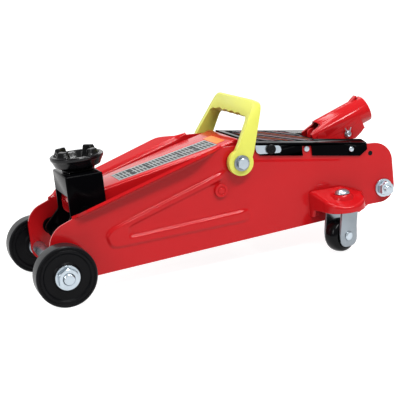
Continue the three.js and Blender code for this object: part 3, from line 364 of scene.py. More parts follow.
def plate_bottom(x):
    """Gently rising edge, a step up under the pump and round corners at both ends."""
    places = [plate_front, pump_step_start, pump_step_end, plate_rear]
    edge = np.interp(x, places, [17.1, 30.7, 37, 37])
    return edge + corner_cut(x - plate_front, 12) + corner_cut(plate_rear - x, 18)


def plate_top(x):
    """Short nose, long rising bend line, then the line of the cover and a round rear corner."""
    corner_start = 350
    under_cover = cover_line(np.array([cover_front, corner_start])) - 1.6
    bend_top = line(bend_end, shoulder, 80.5, 0.278)
    heights = [71, 80.5, bend_top, *under_cover, under_cover[1] - 1.5]
    places = [plate_front, shoulder, bend_end, cover_front, corner_start, plate_rear]
    edge = np.interp(x, places, heights)
    return edge - corner_cut(x - plate_front, 15) - corner_cut(plate_rear - x, 20)


def plate_sheet_face(side):
    """Columns run along the plate and rows climb it, over the bend and out along the flange."""
    rows, bend_rows, lip_rows = 100, 8, 8
    flange_tilt = radians(73.3)
    flange_out, flange_up = 0.958, 0.287
    round_end = 20 * (1 - np.cos(np.linspace(0.03, pi / 2, 26)))
    middle = np.linspace(plate_front + 21, plate_rear - 21, 300)
    x = np.concatenate([plate_front + round_end, middle, plate_rear - round_end[::-1]])
    low, high = plate_bottom(x), plate_top(x)
    widening = 13 * ease((x - shoulder) / 16) + 6.5 * np.clip((x - 30) / 117, 0, 1)
    width = widening - 19.5 * ease((x - 150) / 33)
    radius = 3.4 * np.clip(width / 6, 0, 1)
    z = low + (high - radius * 0.96 - low) * np.linspace(0, 1, rows)[:, None]
    step_line = line(x, 216.2, 106.6, -0.155)
    recess = ease((z - step_line + 0.7) / 1.4) * ease((x - 196) / 12) * ease((318 - x) / 8)
    y = plate_face + rib_height * v_rib(x, z) - recess_depth * recess
    grid = [np.stack([x + 0 * z, y, z], axis=2)]
    for step in range(1, bend_rows + 1):
        angle = flange_tilt * step / bend_rows
        bend = [x, y[-1] + radius * (1 - cos(angle)), z[-1] + radius * sin(angle)]
        grid.append(np.stack(bend, axis=1)[None])
    for step in range(1, lip_rows + 1):
        reach = np.clip(width - radius, 0, None) * step / lip_rows
        lip = np.stack([0 * x, flange_out * reach, flange_up * reach], axis=1)
        grid.append(grid[bend_rows] + lip)
    face = np.concatenate(grid, axis=0)
    face[..., 1] *= side
    return face if side > 0 else face[:, ::-1]


red_enamel = finish(
    "red_enamel", (0.43, 0.0095, 0.013), 0.14, specular=0.3, grain=0.05, grain_size=260,
    mottle=0.02,
)
# painted shade: flat black for the dark inside of a hole
hole_shade_black = finish("hole_shade_black", (0.004, 0.004, 0.005), 0.5, specular=0.2, grain=0.2)
# A thin black disc, almost flush with each plate high at the rear, is painted shade: it stands in
# for the dark inside of a spare hole that the plate is not cut for.
shade_disc, shade_disc_place = drum(0, 2.7, 55.1, 58.42), (350.7, 0, 92.8)
for side, sign in SIDES:
    node = f"side_plate_{side}"
    plate = surface(f"{node}_body", (skin(plate_sheet_face(sign), plate_sheet), True, False))
    piece = mounted(f"{node}_body", plate, red_enamel, "red_paint", [node])
    edge = piece.modifiers.new("edge_rounding", "BEVEL")
    edge.width = 0.6 * MM
    edge.segments = 2
    edge.angle_limit = radians(40)
    shade_disc_name = f"plate_plug_{side}"
    turned(shade_disc_name, shade_disc, shade_disc_place, hole_shade_black, "black_plastic", "frame", sign=sign)


# ---------------------------------------------------------------- Front axle, wheels and nuts
# A zinc-plated axle steps down to a thread outside each wheel. The wheels are dark moulded discs
# with a ring-shaped hollow in each face, held by a plain washer and a hexagon nut.

def hexagon(flats, low, high, bore, centre, sign=1):
    """Hexagon with its face cut back to a circle by a 30 degree cone, round a bore or solid."""
    cone_depth, cone_slope = 1.6, 1.73

    def rule(along):
        def reach(angle):
            flat = flats / 2 / np.cos(np.mod(angle, pi / 3) - pi / 6)
            return np.minimum(flat, 0.5 * flats + (high - along) * cone_slope)
        return reach

    edges = np.concatenate([[low], np.linspace(high - cone_depth, high, 12)])
    rows = [(bore, low), (0.985 * flats / 2, low)]
    rows += [(rule(along), along) for along in edges]
    rows += [(0.46 * flats, high), (bore + 0.5, high), (bore, high - 0.6)]
    rows = [(reach, sign * along) for reach, along in rows]
    return spun(rows, centre, "y"), bore > 0, True


def threaded(radius, low, high, centre, sign=1):
    """End of a threaded stud: ridges of a coarse thread and a bevelled tip."""
    tip, depth, usual_pitch = 0.8, 0.45, 1.2
    turns = max(2, round((high - low - tip) / usual_pitch))
    pitch = (high - low - tip) / turns
    profile = [(0, low), (radius, low)]
    for i in range(turns):
        profile += [(radius, low + (i + 0.45) * pitch), (radius - depth, low + (i + 0.75) * pitch)]
    profile += [(radius, high - tip), (radius - tip, high), (0, high)]
    return lathe(profile, centre, corner=0.12, sign=sign)


zinc_look = {"grain": 0.15, "grain_size": 700, "mottle": 0.1}
zinc_plate = finish("zinc_plate", (0.5, 0.56, 0.61), 0.28, metallic=0.9, **zinc_look)
# darker zinc, used on the caster forks and, as painted shade, on the handle washers
darker_zinc = finish("darker_zinc", (0.3, 0.335, 0.365), 0.32, metallic=0.85, **zinc_look)
satin_black = finish(
    "satin_black", (0.004, 0.004, 0.005), 0.3, specular=0.15, grain=0.3, grain_size=500,
)
axle_z = 30.8
sheen_start, sheen_full = 29.6, 30.4


def painted_sheen_wheel_material():
    """The wheel's black, with a painted sheen: a lighter band on the last millimetres of its radius
    stands in for light caught by the tread.
    """
    material = satin_black.copy()
    material.name = "sheen_painted_wheel_black"
    nodes, links = material.node_tree.nodes, material.node_tree.links
    shader = nodes["Principled BSDF"]
    place = nodes.new("ShaderNodeTexCoord")
    around = nodes.new("ShaderNodeVectorMath")
    around.operation = "MULTIPLY_ADD"
    around.inputs[1].default_value = (1, 0, 1)
    around.inputs[2].default_value = (-axle.x, 0, -axle_z * MM)
    links.new(place.outputs["Object"], around.inputs[0])
    reach = nodes.new("ShaderNodeVectorMath")
    reach.operation = "LENGTH"
    links.new(around.outputs[0], reach.inputs[0])
    painted_tread_sheen = nodes.new("ShaderNodeMapRange")
    painted_tread_sheen.inputs["From Min"].default_value = sheen_start * MM
    painted_tread_sheen.inputs["From Max"].default_value = sheen_full * MM
    links.new(reach.outputs["Value"], painted_tread_sheen.inputs["Value"])
    mix = nodes.new("ShaderNodeMix")
    mix.data_type = "RGBA"
    # painted sheen: the lighter grey of the tread band stands in for the light the tread catches
    mix.inputs["B"].default_value = (0.018, 0.019, 0.021, 1)
    links.new(painted_tread_sheen.outputs["Result"], mix.inputs["Factor"])
    links.new(shader.inputs["Base Color"].links[0].from_socket, mix.inputs["A"])
    links.new(mix.outputs["Result"], shader.inputs["Base Color"])
    return material


wheel_in, wheel_out = 64.9, 86.1
sheen_painted_wheel_black = painted_sheen_wheel_material()
centre = (0, 0, axle_z)

axle_bar = lathe(drum(0, 7, -wheel_out, wheel_out), centre)
axle_ends = [threaded(5.5, wheel_out - 0.5, 96.3, centre, sign) for side, sign in SIDES]
axle_mesh = surface("front_axle_body", axle_bar, *axle_ends)
mounted("front_axle_body", axle_mesh, zinc_plate, "zinc", ["front_axle"])

wheel_half = [
    (7.3, wheel_out), (13.2, wheel_out), (14.6, wheel_out - 1.6), (22.8, wheel_out - 1.6),
    (24.3, wheel_out - 0.1), (26.6, wheel_out), (27.0, wheel_out - 0.7), (27.6, wheel_out - 0.7),
    (28.0, wheel_out - 0.15), (29.7, wheel_out - 0.4), (30.8, wheel_out - 1.8),
]
inner_half = [(reach, wheel_in + wheel_out - along) for reach, along in wheel_half[::-1]]
rings = [
    ("front_wheel", wheel_half + inner_half, sheen_painted_wheel_black, "satin_black"),
    ("axle_spacer", drum(7.3, 9.5, 58.6, 64.6), zinc_plate, "zinc"),
    ("axle_washer", drum(5.8, 12.5, 86.4, 88), zinc_plate, "zinc"),
]
for side, sign in SIDES:
    for name, profile, material, slot in rings:
        turned(f"{name}_{side}", profile, centre, material, slot, closed=True, sign=sign)
    nut = hexagon(19, 88.3, 93.8, 5.8, centre, sign)
    nut_mesh = surface(f"axle_nut_{side}_body", nut, sharp=20)
    mounted(f"axle_nut_{side}_body", nut_mesh, zinc_plate, "zinc", [f"axle_nut_{side}"])


# ---------------------------------------------------------------- Power unit
# A cast pump block sits between the plates at the rear. In front of it an oil tank wraps the ram
# cylinder, whose rod pushes the arm's crank pin. A rubber plug closes the tank.

def softened(node, material, slot, width, fold=None, fold_radius=0.0, cuts=()):
    """Copy of a CAD piece with flat faces joined up, bent edges folded round and sharp edges eased.

    The fold rule gives each edge 0 to 1 of the fold radius, and cuts across x let it fade in steps.
    """
    least_bend = radians(32)
    shape = bmesh.new()
    shape.from_mesh(frame["nodes"][node].data)
    bmesh.ops.remove_doubles(shape, verts=shape.verts, dist=2e-6)
    bmesh.ops.dissolve_limit(shape, angle_limit=radians(1), verts=shape.verts, edges=shape.edges)
    for place in cuts:
        cut_point = (axle.x + place * MM, 0, 0)
        geometry = shape.verts[:] + shape.edges[:] + shape.faces[:]
        bmesh.ops.bisect_plane(
            shape, geom=geometry, dist=1e-6, plane_co=cut_point, plane_no=(1, 0, 0),
        )
    if fold:
        weights = shape.edges.layers.float.new("bevel_weight_edge")
        for edge in shape.edges:
            if len(edge.link_faces) == 2 and edge.calc_face_angle_signed(0) > least_bend:
                middle = ((edge.verts[0].co + edge.verts[1].co) / 2 - axle) / MM
                edge[weights] = fold(middle, *[face.normal for face in edge.link_faces])
    mesh = bpy.data.meshes.new(node + "_body")
    shape.to_mesh(mesh)
    shape.free()
    mesh.shade_smooth()
    piece = mounted(node + "_body", mesh, material, slot, [node])
    if fold:
        bend = piece.modifiers.new("bend_rounding", "BEVEL")
        bend.limit_method = "WEIGHT"
        bend.width = fold_radius * MM
        bend.segments = 5
        bend.use_clamp_overlap = False
    rounding = piece.modifiers.new("edge_rounding", "BEVEL")
    rounding.limit_method = "ANGLE"
    rounding.angle_limit = least_bend
    rounding.width = width * MM
    rounding.segments = 2
    rounding.harden_normals = True
    return piece


machined_steel = finish("machined_steel", (0.42, 0.43, 0.45), 0.3, metallic=1, grain=0.12)
cast_iron = finish("cast_iron", (0.1, 0.105, 0.11), 0.6, metallic=0.5, grain=0.5, grain_size=420)
soft_rubber = finish("soft_rubber", (0.012, 0.012, 0.013), 0.6, specular=0.3, grain=0.3)
softened("piston_rod", machined_steel, "steel", 0.5)
softened("ram_cylinder", cast_iron, "cast_grey", 0.6)
softened("oil_tank", red_enamel, "red_paint", 0.6)
softened("pump_block", red_enamel, "red_paint", 0.8)
softened("release_valve", machined_steel, "steel", 0.3)

stopper = [(0, 99), (4, 99), (4, 103.4), (6, 103.4), (6, 106), (0, 106)]
turned("filler_plug", stopper, (284, 0, 0), soft_rubber, "rubber", axis="z", corner=0.8)


# ---------------------------------------------------------------- Lift arm and level links
# The arm is an inverted steel channel that widens to the rear and swings on a shaft across the
# plates. A link on each side, on a stub pin with a painted button, keeps the saddle level.

fold_front, fold_rear = 40, 201


def arm_fold(middle, first, second):
    """The channel's two long top corners, fading out towards the nose and the rear end."""
    up, level = max(first.z, second.z), min(abs(first.z), abs(second.z))
    top_corner = up > 0.8 and level < 0.3 and middle.z > line(middle.x, fold_front, 90, 0.16)
    from_front = min(1, max(0, (middle.x - fold_front) / 24))
    from_rear = min(1, max(0, (fold_rear - middle.x) / 14))
    return top_corner * from_front * from_rear


fading_cuts = [*range(fold_front, 68, 4), *range(184, 204, 3)]
softened("lift_arm", red_enamel, "red_paint", 0.6, arm_fold, 5.0, fading_cuts)
softened("crank_pin", machined_steel, "steel", 0.4)
softened("pivot_shaft", machined_steel, "steel", 0.4)
black_enamel = finish(
    "black_enamel", (0.0018, 0.0018, 0.0024), 0.14, specular=0.04, grain=0.06, grain_size=300,
)
link_pivot = (176.2, 0, 82.3)
stub = [
    (0, 44.6), (6, 44.6), (6, 50.3), (9, 50.3), (9, 55), (6, 55), (6, 60.5), (7, 60.5), (7, 61.5),
    (4.6, 61.5), (4.4, 60.9), (3.4, 60.9), (3.2, 61.7), (0, 61.7),
]
for side, sign in SIDES:
    softened(f"level_link_{side}", black_enamel, "gloss_black", 0.5)
    pivot_name = f"link_pivot_{side}"
    turned(pivot_name, stub, link_pivot, red_enamel, "red_paint", corner=0.5, sign=sign)


def label_tree(name, roughness, specular):
    """New label material, places along and across it, and tools for maths and for the colours."""
    material = bpy.data.materials.new(name)
    material.use_nodes = True
    nodes, links = material.node_tree.nodes, material.node_tree.links
    nodes["Principled BSDF"].inputs["Roughness"].default_value = roughness
    nodes["Principled BSDF"].inputs["Specular IOR Level"].default_value = specular

    def calc(operation, *values):
        node = nodes.new("ShaderNodeMath")
        node.operation = operation
        for place, value in enumerate(values):
            if isinstance(value, (int, float)):
                node.inputs[place].default_value = value
            else:
                links.new(value, node.inputs[place])
        return node.outputs[0]

    def paint(ink):
        mix = nodes.new("ShaderNodeMix")
        mix.data_type = "RGBA"
        links.new(ink, mix.inputs["Factor"])
        links.new(mix.outputs["Result"], nodes["Principled BSDF"].inputs["Base Color"])
        return mix

    place = nodes.new("ShaderNodeUVMap")
    place.uv_map = "label"
    axes = nodes.new("ShaderNodeSeparateXYZ")
    links.new(place.outputs["UV"], axes.inputs["Vector"])
    return material, axes.outputs["X"], axes.outputs["Y"], calc, paint


def printed_bars():
    """Silver label with groups of dark upright bars between two plain margins."""
    material, along, across, calc, paint = label_tree("printed_bars", 0.4, 0.1)
    bars = calc("LESS_THAN", calc("FRACT", calc("MULTIPLY", along, 29)), 0.6)
    blocks = calc("LESS_THAN", calc("FRACT", calc("ADD", calc("MULTIPLY", along, 6), 0.1)), 0.13)
    middle = calc("LESS_THAN", calc("ABSOLUTE", calc("SUBTRACT", across, 0.5)), 0.4)
    half = calc("GREATER_THAN", calc("ABSOLUTE", calc("SUBTRACT", across, 0.52)), 0.04)
    ink = calc("MULTIPLY", calc("MAXIMUM", calc("MULTIPLY", bars, half), blocks), middle)
    ends = calc("LESS_THAN", calc("ABSOLUTE", calc("SUBTRACT", along, 0.5)), 0.485)
    mix = paint(calc("MULTIPLY", ink, ends))
    mix.inputs["A"].default_value = (0.3, 0.32, 0.32, 1)
    mix.inputs["B"].default_value = (0.014, 0.017, 0.019, 1)
    return material


label_thickness = 0.1


def label(name, grid, material, body):
    """Thin stuck-on sheet over a grid of points in mm, with its own flat layout."""
    rows, columns = grid.shape[:2]
    points = grid.reshape(-1, 3) * MM + np.array((axle.x, 0, 0))
    starts = [i * columns + j for i in range(rows - 1) for j in range(columns - 1)]
    faces = [(k, k + columns, k + columns + 1, k + 1) for k in starts]
    mesh = bpy.data.meshes.new(name)
    mesh.from_pydata(points.tolist(), [], faces)
    layout = mesh.uv_layers.new(name="label")
    corners = [corner for face in faces for corner in face]
    spots = [(k // columns / (rows - 1), k % columns / (columns - 1)) for k in corners]
    layout.data.foreach_set("uv", np.array(spots, np.float32).ravel())
    piece = mounted(name, mesh, material, None, body=body)
    depth = piece.modifiers.new("label_thickness", "SOLIDIFY")
    depth.thickness = label_thickness * MM
    depth.offset = -1
    return piece


def arm_strip(x0, x1, far0, far1, near0, near1):
    """Four-sided patch just above the arm's top, between two x and their far and near edges."""
    t = np.linspace(0, 1, 30)[:, None]
    s = np.linspace(0, 1, 8)[None, :]
    x = x0 + (x1 - x0) * t + 0 * s
    y = (far0 + (far1 - far0) * t) * (1 - s) + (near0 + (near1 - near0) * t) * s
    return np.stack([x, y, line(x, 190, 126.68, 0.207)], axis=2)


orange_film = finish("orange_film", (0.75, 0.19, 0.02), 0.3, specular=0.4, grain=0.1)
label("arm_label", arm_strip(80, 186, 13, 5, -22, -35), printed_bars(), "arm")
label("arm_label_end", arm_strip(187, 197, 13, 12, -30, -29), orange_film, "arm")


# ---------------------------------------------------------------- Saddle and its bracket
# A folded black bracket straddles the nose of the arm on two pins. The cast saddle is a dished ring
# with four soft lugs inside its rim, and turns freely on a stem in the bracket.

def bracket_fold(middle, first, second):
    """The bends of the bracket's top, along both sides and across the front."""
    return middle.x < 60 and middle.z > 96 and (abs(middle.y) > 30.5 or middle.x < 22.5)


softened("saddle_bracket", black_enamel, "gloss_black", 0.5, bracket_fold, 1.8)


def headed(name, place, material, slot, radius, head, grip, end, corner=0.5):
    """Pin across the jack: its radius, the heads' radius, and where each head starts and ends."""
    half = [(radius, grip), (head, grip), (head, end), (0, end)]
    profile = [(reach, -along) for reach, along in half[::-1]] + half
    turned(name, profile, place, material, slot, corner=corner)


bracket_pin, link_pin = (37.7, 0, 80.6), (15.4, 0, 54.1)
headed("bracket_pin", bracket_pin, black_enamel, "gloss_black", 4, 5.5, 31.3, 33.3)
headed("link_pin", link_pin, black_enamel, "gloss_black", 4.5, 7, 50.3, 52.3)


def saddle_grid():
    """Dish by radius and angle with four lugs inside its rim, then its outside, neck and stem."""
    saddle_x, dish_floor, rim_rise, lug_crown, lug_turn = 43.4, 127.2, 8.0, 141.0, 38
    angle = np.linspace(0, 2 * pi, 160, endpoint=False)[None, :]
    reach = np.concatenate([np.linspace(0, 16, 8), np.linspace(16.6, 27.9, 44)])[:, None]
    dish = dish_floor + rim_rise * ease((reach - 19.8) / 4.6)
    dish = dish - 1.1 * ease((reach - 26.2) / 1.8) ** 2
    lug = np.zeros(np.broadcast(reach, angle).shape)
    for k in range(4):
        away = np.mod(angle - radians(lug_turn + 90 * k) + pi, 2 * pi) - pi
        across = np.abs(reach * np.sin(np.clip(away, -pi / 2, pi / 2)))
        here = np.abs(away) < pi / 2
        tab = ease((7.6 - across) / 3.0) * ease((reach - 16.4) / 2.6) * ease((26.2 - reach) / 2.4)
        lug = np.maximum(lug, np.where(here, tab, 0))
    high = lug_crown - 0.03 * (reach - 20) ** 2
    c, s = np.cos(angle), np.sin(angle)
    top = np.stack([reach * c, reach * s, dish + lug * (high - dish)], axis=2)
    outside = [
        (28, 133.4), (27.6, 131), (26.4, 129.6), (23.6, 123.6), (17.4, 121), (17, 119.6),
        (17, 118.3), (9, 118.3), (9, 108.3), (0, 108.3),
    ]
    below = eased(outside, 0.6, False)
    ring = [(r * c[0], r * s[0], z + 0 * angle[0]) for r, z in below]
    return np.concatenate([top, np.stack(ring).transpose(0, 2, 1)]) + np.array((saddle_x, 0, 0))


cast_black = finish(
    "cast_black", (0.004, 0.004, 0.005), 0.22, specular=0.42, grain=0.55, grain_size=170,
)
saddle = surface("saddle_body", (saddle_grid(), False, True), sharp=60)
mounted("saddle_body", saddle, cast_black, "gloss_black", ["saddle"])


# ---------------------------------------------------------------- Return springs
# A long coil on each side hooks the crank pin to a rod across the cover. The pair pulls the arm
# down again when the ram lets go.

spring_wire = finish("spring_wire", (0.3, 0.31, 0.33), 0.3, metallic=1, grain=0.1)
for side, sign in SIDES:
    softened(f"return_spring_{side}", spring_wire, "spring_steel", 0.1)


# ---------------------------------------------------------------- Carry handle
# A moulded bow of bright lime plastic leans over the cover, with finger ripples under its grip and
# a round eye at each foot, held by a washer and a hexagon bolt in the end of the pivot shaft.

lime_plastic = finish(
    "lime_plastic", (0.56, 0.565, 0.115), 0.38, specular=0.35, grain=0.12, grain_size=1400,
    mottle=0.02,
)
softened("carry_handle", lime_plastic, "lime_plastic", 1.5)
eye = (pivot_x, 0, pivot_z)
ring = drum(5.3, 8.3, 68.6, 70.1)
for side, sign in SIDES:
    # painted shade: the washers take the darker zinc in place of the shadow round the bolt head, so
    # the head stands out
    turned(f"handle_washer_{side}", ring, eye, darker_zinc, "zinc", closed=True, sign=sign)
    shank = lathe(drum(0, 5, 46, 71), eye, sign=sign)
    head = hexagon(10.6, 70.4, 74.6, 0, eye, sign)
    bolt_mesh = surface(f"handle_bolt_{side}_body", shank, head, sharp=20)
    mounted(f"handle_bolt_{side}_body", bolt_mesh, zinc_plate, "zinc", [f"handle_bolt_{side}"])


# ---------------------------------------------------------------- Cover
# A folded black sheet closes the top behind the arm, with a round-ended mouth for the socket. It is
# held by black buffers and small screws, and the ends of the spring rod show in its flanges.

def cover_fold(middle, first, second):
    """The bends along the cover's two sides."""
    return max(first.z, second.z) > 0.8 and abs(middle.y) > 59


softened("cover", black_enamel, "gloss_black", 0.3, cover_fold, 1.6)
buffer_black = finish("buffer_black", (0.004, 0.004, 0.005), 0.35, specular=0.2, grain=0.25)
buffer_place, screw_place = (235.2, 0, 116.3), (327.6, 0, 101.2)
buffer = [
    (0, 54.3), (2, 54.3), (2, 60.2), (5.2, 60.2), (5.2, 62.6), (4.2, 63.7), (1.6, 63.7), (1.2, 63),
    (0, 63),
]
screw = [(0, 54.3), (2, 54.3), (2, 60.2), (3, 60.2), (2.8, 61.2), (1.5, 61.8), (0, 61.8)]
for side, sign in SIDES:
    bumper, fixing = f"cover_bumper_{side}", f"cover_screw_{side}"
    turned(bumper, buffer, buffer_place, buffer_black, "black_plastic", corner=1.0, sign=sign)
    turned(fixing, screw, screw_place, zinc_plate, "zinc", corner=0.5, sign=sign)


def printed_bands():
    """Charcoal label with slanting bands of silver, dull red and orange inside a plain edge."""
    material, along, across, calc, paint = label_tree("printed_bands", 0.5, 0.0)
    nodes, links = material.node_tree.nodes, material.node_tree.links
    slant = calc("FRACT", calc("ADD", calc("MULTIPLY", along, 1.7), calc("MULTIPLY", across, -1.3)))
    ramp = nodes.new("ShaderNodeValToRGB")
    ramp.color_ramp.interpolation = "CONSTANT"
    stops = [
        (0.0, (0.008, 0.008, 0.009)), (0.1, (0.28, 0.29, 0.3)), (0.15, (0.012, 0.012, 0.013)),
        (0.22, (0.3, 0.31, 0.32)), (0.27, (0.2, 0.04, 0.055)), (0.36, (0.01, 0.01, 0.011)),
        (0.47, (0.24, 0.25, 0.26)), (0.51, (0.012, 0.012, 0.013)), (0.58, (0.3, 0.075, 0.012)),
        (0.66, (0.01, 0.01, 0.011)), (0.74, (0.16, 0.016, 0.025)), (0.82, (0.27, 0.28, 0.29)),
        (0.87, (0.008, 0.008, 0.009)),
    ]
    elements = ramp.color_ramp.elements
    elements[0].color = (*stops[0][1], 1)
    elements[1].position, elements[1].color = stops[1][0], (*stops[1][1], 1)
    for position, colour in stops[2:]:
        elements.new(position).color = (*colour, 1)
    links.new(slant, ramp.inputs["Fac"])
    from_middle = [calc("ABSOLUTE", calc("SUBTRACT", place, 0.5)) for place in (along, across)]
    mix = paint(calc("GREATER_THAN", calc("MAXIMUM", *from_middle), 0.465))
    mix.inputs["B"].default_value = (0.022, 0.022, 0.024, 1)
    links.new(ramp.outputs["Color"], mix.inputs["A"])
    return material


label_x = np.linspace(225, 297, 30)[:, None]
label_y = np.linspace(46, -46, 24)[None, :]
cover_patch = np.broadcast_arrays(label_x, label_y, cover_line(label_x) + 0.12)
label("cover_label", np.stack(cover_patch, axis=2), printed_bands(), "frame")

panel_face, panel_sheet = 60.15, 0.2
panel_front, panel_rear, panel_length = cover_front, 247.2, 28.6


def buffer_panel(sign):
    """Thin bright plate behind each buffer, level with the cover's flange."""
    u = np.linspace(0, 1, 40)[:, None]
    v = np.linspace(0, 1, 12)[None, :]
    x = panel_front + panel_length * u + 0 * v
    rear_cut = corner_cut(panel_rear - x, 3.5)
    low = line(x, panel_front, 113.4, -0.1) + corner_cut(x - panel_front, 5) + rear_cut
    high = line(x, panel_front, 122.9, cover_slope) - rear_cut
    panel = np.stack([x, sign * (panel_face + 0 * x), low + (high - low) * v], axis=2)
    return panel if sign < 0 else panel[:, ::-1]


for side, sign in SIDES:
    panel = skin(buffer_panel(sign), panel_sheet)
    panel_mesh = surface(f"buffer_plate_{side}", (panel, True, False))
    mounted(f"buffer_plate_{side}", panel_mesh, zinc_plate, "zinc", body="frame")

rod = drum(0, 3, -59.6, 59.6)
turned("spring_rod", rod, (276.6, 0, 109.6), zinc_plate, "zinc", corner=0.6)


# ---------------------------------------------------------------- Pump plunger and handle socket
# A folded red sheet takes the pumping lever in its round mouth. It turns on a pin in the pump block
# and works the plunger through a second pin.

softened("handle_socket", red_enamel, "red_paint", 0.7)
softened("pump_plunger", machined_steel, "steel", 0.5)
socket_pivot, plunger_pin = (315, 0, 111.5), (346.8, 0, 109.6)
headed("socket_pivot", socket_pivot, red_enamel, "red_paint", 4, 5.5, 15.3, 16.1, 0.4)
headed("plunger_pin", plunger_pin, zinc_plate, "zinc", 3, 4, 15.3, 16.9)


def swept(path, radius, sides=10):
    """Round wire along a path: a ring across the path at each point, closed at both ends."""
    path = np.array(path, float)
    tangent = np.gradient(path, axis=0)
    tangent /= np.linalg.norm(tangent, axis=1, keepdims=True)
    helper = np.array((0, 1, 0)) if abs(tangent[:, 1]).max() < 0.95 else np.array((0, 0, 1))
    first = np.cross(tangent, helper)
    first /= np.linalg.norm(first, axis=1, keepdims=True)
    second = np.cross(tangent, first)
    angle = np.linspace(0, 2 * pi, sides, endpoint=False)[None, :, None]
    ring = np.cos(angle) * first[:, None] + np.sin(angle) * second[:, None]
    body = path[:, None] + radius * ring
    ends = [np.repeat(path[k][None, None], sides, axis=1) for k in (0, -1)]
    return np.concatenate([ends[0], body, ends[1]]), False, True


clip_x, _, clip_z = plunger_pin
clip_wire, clip_loop = 0.65, 2.6


def split_pin(sign):
    """Wires of a split pin on the plunger pin's end: two spread legs and a loop round the pin."""
    wires = []
    for lean in (-0.5, 0.45):
        reach = np.linspace(1, 8, 10)
        leg = (clip_x + sin(lean) * reach, sign * (17.7 + 0.05 * reach), clip_z + cos(lean) * reach)
        wires.append(swept(np.stack(leg, axis=1), clip_wire))
    turn = np.linspace(0, 1.9 * pi, 24)
    loop_x, loop_z = clip_x + clip_loop * np.cos(turn), clip_z + clip_loop * np.sin(turn)
    loop = np.stack([loop_x, sign * 17.9 + 0 * turn, loop_z], axis=1)
    return [*wires, swept(loop, clip_wire)]


for side, sign in SIDES:
    clip = surface(f"split_pin_{side}", *split_pin(sign))
    mounted(f"split_pin_{side}", clip, zinc_plate, "zinc", body="socket")


# ---------------------------------------------------------------- Rear bolts
# A plain washer and a large hexagon bolt clamp each side plate to the pump block. A short threaded
# tip stands out of the hexagon.

seat = (363, 0, 52.5)
ring = drum(6.3, 10, 58.6, 60.4)
for side, sign in SIDES:
    turned(f"rear_washer_{side}", ring, seat, zinc_plate, "zinc", closed=True, sign=sign)
    shank = lathe(drum(0, 6, 36.3, 62), seat, sign=sign)
    head = hexagon(14, 60.7, 68.7, 0, seat, sign)
    nub = threaded(4, 68, 71.7, seat, sign)
    bolt_mesh = surface(f"rear_bolt_{side}_body", shank, head, nub, sharp=20)
    mounted(f"rear_bolt_{side}_body", bolt_mesh, zinc_plate, "zinc", [f"rear_bolt_{side}"])


# ---------------------------------------------------------------- Rear casters
# A pressed red bracket is bolted to each side plate. A zinc fork swivels under it on a kingpin with
# a domed cap and carries a crowned nylon wheel on a riveted axle.

kingpin_x, kingpin_y = 302.2, 82.0


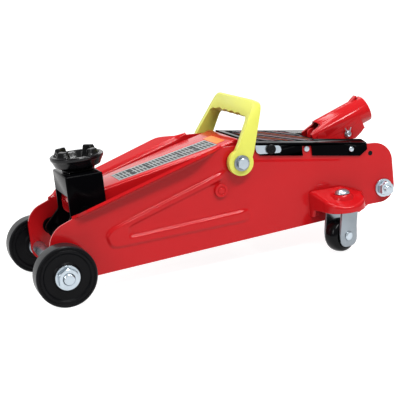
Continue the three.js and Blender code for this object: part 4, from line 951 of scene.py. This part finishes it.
def bracket_shell(sign):
    """Rows run from the kingpin hole over the top, round its rim, down the skirt and back."""
    rim_radius, inner_edge, rear_taper, front_taper = 23.0, 23.4, 0.547, 0.222
    hole, boss, boss_top, boss_bottom, sheet, fillet = 5.3, 9.0, 60.3, 48.3, 3, 3.6
    corners = np.arctan2(-inner_edge, np.array([35.8, -28.2]))
    angle = np.sort(np.concatenate([np.linspace(-pi, pi, 200, endpoint=False), corners]))
    c, s = np.cos(angle), np.sin(angle)
    with np.errstate(divide="ignore"):
        reaches = np.stack([
            -inner_edge / s, rim_radius / (c + rear_taper * s), -rim_radius / (c - front_taper * s),
        ])
    reaches[reaches <= 0] = 99
    rim = np.where(s >= 0, rim_radius, reaches.min(axis=0))
    px, py = kingpin_x + rim * c, kingpin_y + rim * s

    def roof(reach):
        """Height of the top at a reach from the kingpin: a flat boss, then slopes to the edges."""
        x, out = kingpin_x + reach * c, kingpin_y + reach * s - plate_face
        near_plate = np.clip(1 - out / 23.7, 0, 1)
        rearward = np.clip((x - 311) / 27, 0, 1) * near_plate
        front = np.clip((280 - x) / 6, 0, 1) ** 2 * near_plate
        slope = 65 - 0.31 * out - 13 * rearward - 3.5 * front
        return boss_top + (slope - boss_top) * ease((reach - 9.2) / 2.6)

    def level(reach, height=None, drop=0):
        """Row at one reach all round, on the top less a drop or at a fixed height."""
        reach = reach + 0 * c
        return reach, (roof(reach) if height is None else height + 0 * c) - drop

    foot = 44 - 8 * ease((284 - px) / 3) * ease((65 - py) / 3)
    shoulder_in = rim - fillet
    rows = [level(hole), level(boss)]
    rows += [level(boss + (shoulder_in - boss) * k) for k in np.linspace(0.08, 1, 12)]
    edge = roof(shoulder_in)
    for phi in np.linspace(0, pi / 2, 7)[1:]:
        rows.append((rim - fillet * (1 - sin(phi)), edge - fillet * (1 - cos(phi))))
    rows += [(rim, foot + 0.5), (rim - 0.5, foot), (rim - 2.6, foot), (rim - sheet, foot + 0.5)]
    rows.append((rim - sheet, np.maximum(edge - fillet, foot + 0.6)))
    rows.append((rim - 5.5, np.maximum(edge - 3.2, foot + 0.7)))
    rows += [level(12, drop=sheet), level(boss, drop=sheet)]
    rows += [level(boss, boss_bottom), level(hole, boss_bottom)]
    points = [np.stack([kingpin_x + r * c, kingpin_y + r * s, z], axis=1) for r, z in rows]
    grid = np.stack(points)
    grid[..., 1] *= sign
    return grid, True, True


resting_turn = 20
hub = (-8, 0, 18)


def steered(part, sign):
    """A part drawn at the kingpin, turned to the caster's resting angle and moved to its side."""
    grid, close_rows, close_columns = part
    angle = radians(-resting_turn * sign)
    x = grid[..., 0] * cos(angle) - grid[..., 1] * sin(angle) + kingpin_x
    y = grid[..., 0] * sin(angle) + grid[..., 1] * cos(angle) + kingpin_y * sign
    return np.stack([x, y, grid[..., 2]], axis=2), close_rows, close_columns


nylon = finish("nylon", (0.003, 0.003, 0.004), 0.16, specular=0.2, grain=0.08)
tyre_half = [
    (3.3, 8.75), (6, 8.75), (6.5, 7.75), (12, 7.75), (12.5, 8.75), (13.5, 8.75), (16.4, 6.75),
    (17.5, 4.25), (18, 0),
]
tyre = tyre_half + [(reach, -along) for reach, along in tyre_half[-2::-1]]
rivet_half = [(0, -13.7), (3.6, -13.7), (5, -12.9), (5, -12.3), (3, -12.3)]
rivet = rivet_half + [(reach, -along) for reach, along in rivet_half[::-1]]
kingpin = [
    (0, 42.7), (8, 42.7), (8, 45.2), (5, 45.2), (5, 60.6), (8, 60.6), (7.9, 61.6), (7, 63.3),
    (4, 65), (0, 65.6),
]
for side, sign in SIDES:
    node = f"caster_bracket_{side}"
    bracket_mesh = surface(f"{node}_body", bracket_shell(sign))
    mounted(f"{node}_body", bracket_mesh, red_enamel, "red_paint", [node])
    softened(f"caster_fork_{side}", darker_zinc, "zinc", 0.7)
    node = f"caster_wheel_{side}"
    wheel = steered(lathe(tyre, hub, corner=1.2, closed=True), sign)
    mounted(f"{node}_body", surface(f"{node}_body", wheel), nylon, "black_plastic", [node])
    node = f"caster_axle_{side}"
    rivet_mesh = surface(f"{node}_body", steered(lathe(rivet, hub), sign))
    mounted(f"{node}_body", rivet_mesh, zinc_plate, "zinc", [node])
    stem_place = (kingpin_x, kingpin_y * sign, 0)
    turned(f"caster_stem_{side}", kingpin, stem_place, zinc_plate, "zinc", axis="z", corner=0.5)
